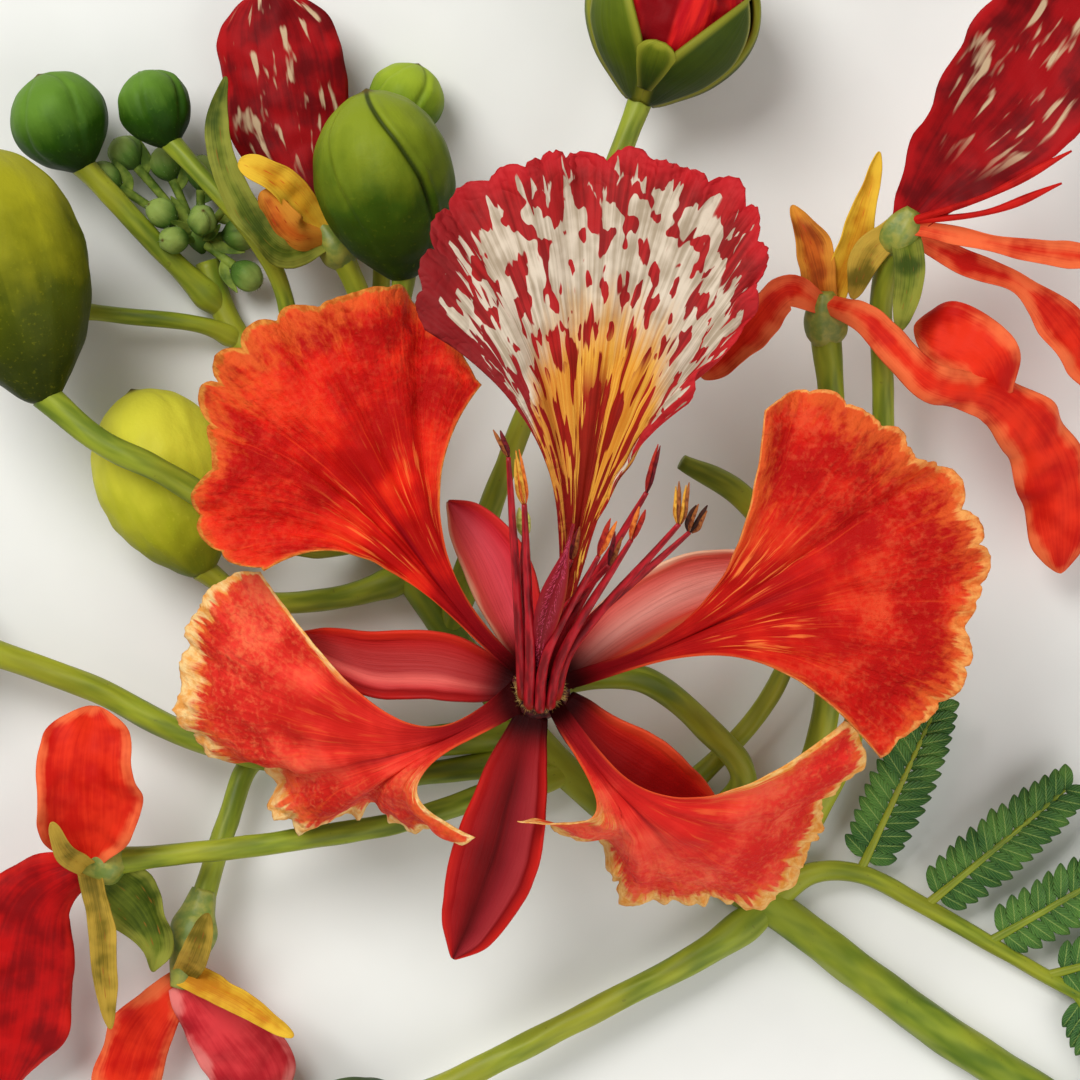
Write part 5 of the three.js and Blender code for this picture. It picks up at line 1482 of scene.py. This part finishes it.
def older_bloom(name, stalk, top, cup, straps, threads=(), stem_radius=1.5):
    """A cup at the end of a stalk, with straps and threads that start in it."""
    foot, top = np.array(stalk[-1], float), np.array(top, float)
    shape = Shape()
    tube(shape, [foot - (top - foot) * 0.05, (foot + top) / 2, top], cup + [cup[-1] * 0.5],
         rings=40, sides=28, paint=faded_order.index("cup"), ridges=0.06, seed=3)
    for number, (kind, spine, half_widths, form) in enumerate(straps):
        seed = sum(map(ord, name)) + 10 * number
        form = {"ruffle": 1.0, "rows": LIMP_ROWS, "columns": LIMP_COLUMNS, "seed": seed, **form}
        net = strap_net(spine, half_widths, **form)
        lay_sheet(shape, net, LIMP_THICKNESS, paints=[faded_order.index(kind)] * 2, taper=1.5)
    for path in threads:
        tube(shape, path, [0.5, 0.45, 0.4, 0.6, 0.15], rings=30, sides=8, paint=faded_order.index("deep"))
    shape.become(name, list(faded.values()), "withered", spray_origin, name)
    flower_stalk(f"{name}_pedicel", [*stalk[:-1], foot + (top - foot) * CUP_SEAT], stem_radius)


print("a limp strap has", LIMP_ROWS * LIMP_COLUMNS, "points on each side")

# %% [markdown]
# Three older blooms hang at the top of the spray. The left and the right one show their standards.
# The third, on the thickest stalk, has one long red petal that bends out to the right.

# %% Older blooms at the top
older_bloom(
    "side_bloom_left", [[-29, 32, 2.1], [-25.5, 41, 5], [-24, 50.5, 8.5], [-26, 57, 10.5]],
    [-29.5, 62, 12], [1.6, 2.4, 2.4, 1.8],
    [("standard", [[-28.5, 60.5, 11.6], [-32.5, 71.5, 10.8], [-35, 83, 10.8], [-37.5, 95, 8.5]],
      [1.8, 5, 8.3, 8, 4.5], {"fold": -0.3, "tip": 0.2}),
     ("olive", [[-28.5, 60, 11.6], [-34.5, 58, 15.5], [-41, 66.5, 16.5], [-43, 75.5, 16], [-42, 81.5, 15]],
      [1.6, 1.8, 1.8, 1.5, 0.7], {"fold": 0.3}),
     ("yellow", [[-28.5, 60.5, 11.8], [-34.5, 67, 17], [-40, 70, 18]], [1.2, 2.2, 1.6], {"fold": 0.3}),
     ("orange", [[-28.5, 60, 11.8], [-33, 60.5, 16.5], [-37, 66, 17.5]], [1.2, 2.4, 1.4], {"fold": -0.3}),
     ("olive", [[-28, 60.5, 11.4], [-26, 64.5, 7], [-26, 70, 4]], [1.6, 1.9, 0.7], {})])

older_bloom(
    "side_bloom_right",
    [[27.5, -28.1, 2.7], [35.5, -20, 5], [42, -7.5, 7], [46, 17, 9], [46, 38.5, 13], [45.5, 51.5, 17],
     [46.5, 58, 20]],
    [49.5, 63, 23], [1.7, 2.8, 2.8, 2.2],
    [("standard", [[48, 61, 22], [56, 71, 25], [62.5, 78.5, 27], [71, 90.5, 26], [76.5, 97.5, 23]],
      [1.8, 6.5, 9.6, 9.8, 5], {"fold": 0.35, "tip": 0.2}),
     ("ochre", [[47, 60.5, 22], [43.5, 57.5, 21.5], [41.5, 51.5, 19]], [1.8, 1.9, 0.7], {"fold": 0.3}),
     ("olive", [[48, 60.5, 22], [48.8, 54.5, 24], [47.4, 47, 23]], [1.8, 1.9, 0.7], {"fold": 0.3}),
     ("scarlet", [[48, 61, 22.5], [55.5, 59.5, 24], [63, 58, 24], [71.5, 57, 22], [77.5, 56.5, 20]],
      [1.1, 1.1, 1.2, 1.6, 1], {"fold": 0.4}),
     ("scarlet", [[48, 60.5, 21.5], [56, 56.5, 19], [64, 53.5, 17], [70.5, 47.5, 13], [75.5, 39.5, 9]],
      [1.2, 1.4, 1.6, 3, 2], {"fold": 0.4})],
    [[[48.5, 61.5, 23], [58.5, 64.5, 30], [69, 70, 33]],
     [[48.5, 61.5, 23], [59, 62.5, 28.5], [68, 66, 30.5]]])

older_bloom(
    "spent_bloom",
    [[22.5, -25, 2.7], [30, -20.5, 5], [37, -10, 9], [39.5, 11.5, 12], [39, 38, 14], [38.3, 46, 15]],
    [37.8, 52.5, 18], [1.7, 2.9, 2.9, 2.2],
    [("orange", [[37.8, 50.5, 17], [36, 58, 18.5], [33.5, 64, 18.5]], [1.8, 2.4, 0.8], {"fold": 0.4}),
     ("yellow", [[38.5, 50.5, 16.5], [42, 60.5, 19], [45, 71, 20]], [1.6, 1.9, 0.7], {"fold": 0.4}),
     ("scarlet", [[37, 51, 18], [32.5, 52.5, 22], [26.5, 46, 21], [21.5, 41, 19]], [1.4, 2.2, 2.6, 1.2],
      {"fold": 0.3}),
     ("scarlet", [[38, 51, 18.5], [43, 48.5, 25], [51.5, 40, 26], [61, 38, 20], [68.5, 29, 13],
                  [70.5, 15, 7]],
      [1.4, 2.2, 2.6, 4, 5, 3], {"fold": -0.3, "rows": 140}),
     ("scarlet", [[61.5, 38.5, 19.5], [59, 43.5, 22], [54.5, 46.5, 21], [49.8, 48, 18]], [1.4, 4.4, 4.6, 1.8],
      {})],
    stem_radius=1.8)

# %% [markdown]
# Two more hang at the lower left. Their sepals have spread, green, yellow and ochre, and each has two
# broad petals left.

# %% Older blooms at the lower left
older_bloom(
    "lower_bloom_one", [[4.5, -12, 2.5], [-7, -15, 7], [-19, -18.5, 11], [-39, -21.5, 14], [-56, -23.3, 15]],
    [-61.5, -24, 16], [1.7, 2.8, 2.8, 2],
    [("scarlet", [[-60, -23.5, 17], [-60, -15, 22], [-59.5, -7.5, 23], [-59, -2.5, 20]], [1.8, 6.6, 6.2, 3],
      {"fold": 0.3, "tip": 0.25}),
     ("olive", [[-60, -24, 15], [-54, -29.5, 13], [-51.5, -35, 12.5], [-52, -38.5, 12]], [1.8, 4.2, 3, 0.8],
      {"fold": 0.3}),
     ("ochre", [[-60, -24.5, 16.5], [-58.5, -31, 18], [-58, -38.5, 16.5], [-57.5, -46, 14]],
      [1.6, 1.7, 1.6, 0.7], {"fold": 0.3}),
     ("ochre", [[-60.5, -24, 17], [-62.5, -21.5, 23.5], [-64, -17.5, 27]], [1.4, 1.5, 0.7], {"fold": 0.3}),
     ("deep", [[-60.5, -24, 15], [-68, -29, 13], [-71, -39.5, 11], [-73, -55, 8]], [1.8, 6.5, 8.4, 5],
      {"fold": -0.25, "tip": 0.25})])

older_bloom(
    "lower_bloom_two",
    [[1.5, -9.5, 2.5], [-9.5, -11.5, 3.4], [-22, -12.5, 3], [-33, -9.5, 3], [-39, -10.5, 3.4],
     [-42.5, -19, 5.5], [-45.5, -28.5, 7.5]],
    [-49, -41, 9], [1.6, 2.2, 3.2, 2.8, 2],
    [("yellow", [[-48, -39, 9.5], [-41, -42, 13], [-33, -47, 14]], [1.8, 1.8, 0.8], {"fold": 0.3}),
     ("ochre", [[-48, -39, 9.5], [-46, -35.5, 16], [-44, -30, 20]], [1.6, 1.8, 0.8], {"fold": 0.3}),
     ("pink", [[-48.4, -40, 8.5], [-42.5, -47.5, 7.5], [-38.5, -53, 5.8], [-36.5, -57.5, 3.8]],
      [1.8, 5, 6, 3], {"fold": -0.2, "tip": 0.25}),
     ("scarlet", [[-48.4, -40, 8.5], [-54, -47.5, 7.5], [-56.5, -54.5, 5.5], [-58, -60, 3.5]],
      [1.8, 4, 4.6, 2.4], {"fold": -0.2, "tip": 0.25})])

# %% [markdown]
# ## The youngest buds
# At the tip of the stalk sit the youngest buds, no larger than peppercorns, grey-green with down.
# Each has a short stalk and a narrow leaf-like bract under it. They are one piece, as the real
# cluster is one tuft, and the buds reuse the bud's egg with fewer rings. Their stalks and
# bracts have a plain green of their own, since a bud's finish would paint seams on them.

# %% Tip cluster
YOUNG_HAIRS = 60
tip_centre = np.array([-46.5, 60.5, 2.4])
youngest = [
    ([-61, 70, 6.5], 2.2), ([-58, 74, 4], 2.4), ([-52, 73, 3], 2.2), ([-53, 65, 7], 2), ([-46, 72, 3], 2.1),
    ([-40, 68, 4.5], 2.2), ([-38.5, 61.5, 4], 2.3), ([-45.5, 64, 8.5], 2), ([-38, 54, 5], 2.1),
    ([-51, 60, 8.5], 1.9),
]
YOUNG_LENGTH = 5  # millimetres
young_skin = bud_finish("Youngest bud", "34501a", "587a30", "8ca04e")
young_down = plain_finish("Grey-green down", "74864e", "a0ac78", 0.5, 0.75)
young_green = plain_finish("Young stalk and bract", "4a6420", "86983c", 2.2, 0.55, Specular_IOR_Level=0.1)
outline = smooth_line(egg_outline, 200)
shape = Shape()
lay_bud(shape, [-46, 58.6, 1.9], [-47.5, 64, 3.2], 1.7, rows=30, sides=36)
for number, (apex, radius) in enumerate(youngest):
    apex = np.array(apex, float)
    out = unit(apex - tip_centre)
    base = apex - out * YOUNG_LENGTH
    lay_bud(shape, base, apex, radius, turn=number, rows=30, sides=36, seed=number)
    stalk = [tip_centre, (tip_centre + base) / 2, base + out * 0.4]
    tube(shape, stalk, [0.75, 0.6, 0.6, 0.7], rings=16, sides=10, paint=2)
    aside = unit(np.cross(out, UP))
    bract = [base - out * 1.5, base + aside * 1.6 + UP * 0.3, base + out * 3 + aside * 2.6]
    net = strap_net(bract, [0.3, 0.7, 0.5, 0.15], fold=0.4, rows=24, columns=9)
    lay_sheet(shape, net, 0.25, paints=(2, 2), taper=0.5)
    spot = dice.integers(20, 190, YOUNG_HAIRS)
    turn = dice.uniform(0, 2 * math.pi, YOUNG_HAIRS)[:, None]
    _, way, upward, sideways = bud_axis(base, apex)
    ring = np.cos(turn) * upward + np.sin(turn) * sideways
    roots = base + outline[spot, 1:] * YOUNG_LENGTH * way + outline[spot, :1] * radius * 0.98 * ring
    lengths = dice.uniform(0.25, 0.55, YOUNG_HAIRS)
    hairs(shape, roots, unit(ring + way * 0.8), lengths, radius=0.025, paint=1)
shape.become("tip_cluster", [young_skin, young_down, young_green], "tip", spray_origin, "tip_cluster")

# %% [markdown]
# ## The leaf
# A flame tree's leaf is feathered twice: its stalk carries ribs, and each rib two rows of small
# oblong leaflets. The solids show a rib with its leaflets as one toothed blade. Here every leaflet
# is its own little sheet, creased along its middle and tilted a little, no two quite alike. They
# could be instances, but those are lost in an export, so all are laid in one mesh.

# %% Leaf
leaf_stalk = [[31.5, -30, 2.7], [37, -26, 2.6], [43.5, -26, 2.4], [52.5, -30.5, 2.2], [69, -40, 2],
              [80.5, -46.5, 2]]
pinnae = [
    ([43.5, -26, 2.4], [54, -3, 4]), ([52.5, -30.5, 2.2], [72, -14, 4]), ([61, -35.5, 2.1], [84, -22, 4]),
    ([69, -40, 2], [94, -33, 3]), ([80, -46.2, 2], [98, -53, 2.4]), ([73, -42.2, 2], [82, -57, 1.6]),
]
PAIRS = 14  # of leaflets to a rib
LEAFLET = 5.2  # millimetres along the longest ones
LEAFLET_THICKNESS = 0.22


def leaf_finish():
    f = Finish("Leaflet", Roughness=0.5, Specular_IOR_Level=0.35)
    across, along = f.map("Sheet")
    middle = f.calc("ABSOLUTE", f.calc("SUBTRACT", across, 0.5))
    veins = f.calc("SINE", f.plus(f.times(along, 44.0), f.times(middle, -30.0)))
    paint = f.blend(f.fade(f.grain(6.0, detail=3), 0.35, 0.65), "35642a", "5c8a38")
    paint = f.blend(f.times(f.fade(veins, 0.5, 1.0), 0.25), paint, "86a850")
    paint = f.blend(f.times(f.fade(middle, 0.06, 0.01), 0.7), paint, "a0b860")
    return f.done(paint, veins, 0.08)


shape = Shape()
tube(shape, leaf_stalk, [1.7, 1.35, 1.2, 1.1, 0.95, 0.8], rings=90, sides=16, ridges=0.03)
count = 0
for foot, tip in pinnae:
    foot, tip = np.array(foot, float), np.array(tip, float)
    rib = smooth_line([foot, foot * 0.5 + tip * 0.5 + UP * 0.9, tip], 100)
    tube(shape, rib[::12], [0.7, 0.5, 0.4, 0.3], rings=40, sides=10)
    way = unit(tip - foot)
    aside = np.cross(UP, way)
    for pair in range(PAIRS):
        share = 0.1 + 0.87 * pair / (PAIRS - 1)
        size = LEAFLET * math.sin(math.pi * (0.22 + 0.58 * share)) ** 0.8
        for side in (-1, 1):
            root = read(rib, share) + dice.normal(0, 0.08, 3) * [1, 1, 0]
            out = unit(aside * side + way * (0.35 + 0.5 * share) + UP * dice.uniform(-0.02, 0.16))
            end = root + out * size
            net = strap_net([root, (root + end) / 2 + UP * dice.uniform(0.1, 0.35), end],
                            [0.2, 0.9, 1.0, 0.85, 0.4], fold=0.2, rows=12, columns=5, tip=0.3)
            lay_sheet(shape, net, LEAFLET_THICKNESS, paints=(1, 1), rim=0.6, taper=0.5)
            count += 1
shape.become("leaf", [stem, leaf_finish()], "leaf", spray_origin, "leaf")
print("leaflets:", count)

# %% [markdown]
# ## Triangles
# Last, the triangles of all the shown pieces are roughly counted. Looks may add a frill, but never
# change the size.

# %% Count the triangles
total = sum(len(piece.data.loop_triangles) or len(piece.data.polygons) * 2 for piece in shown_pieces())
print("triangles, about:", total)
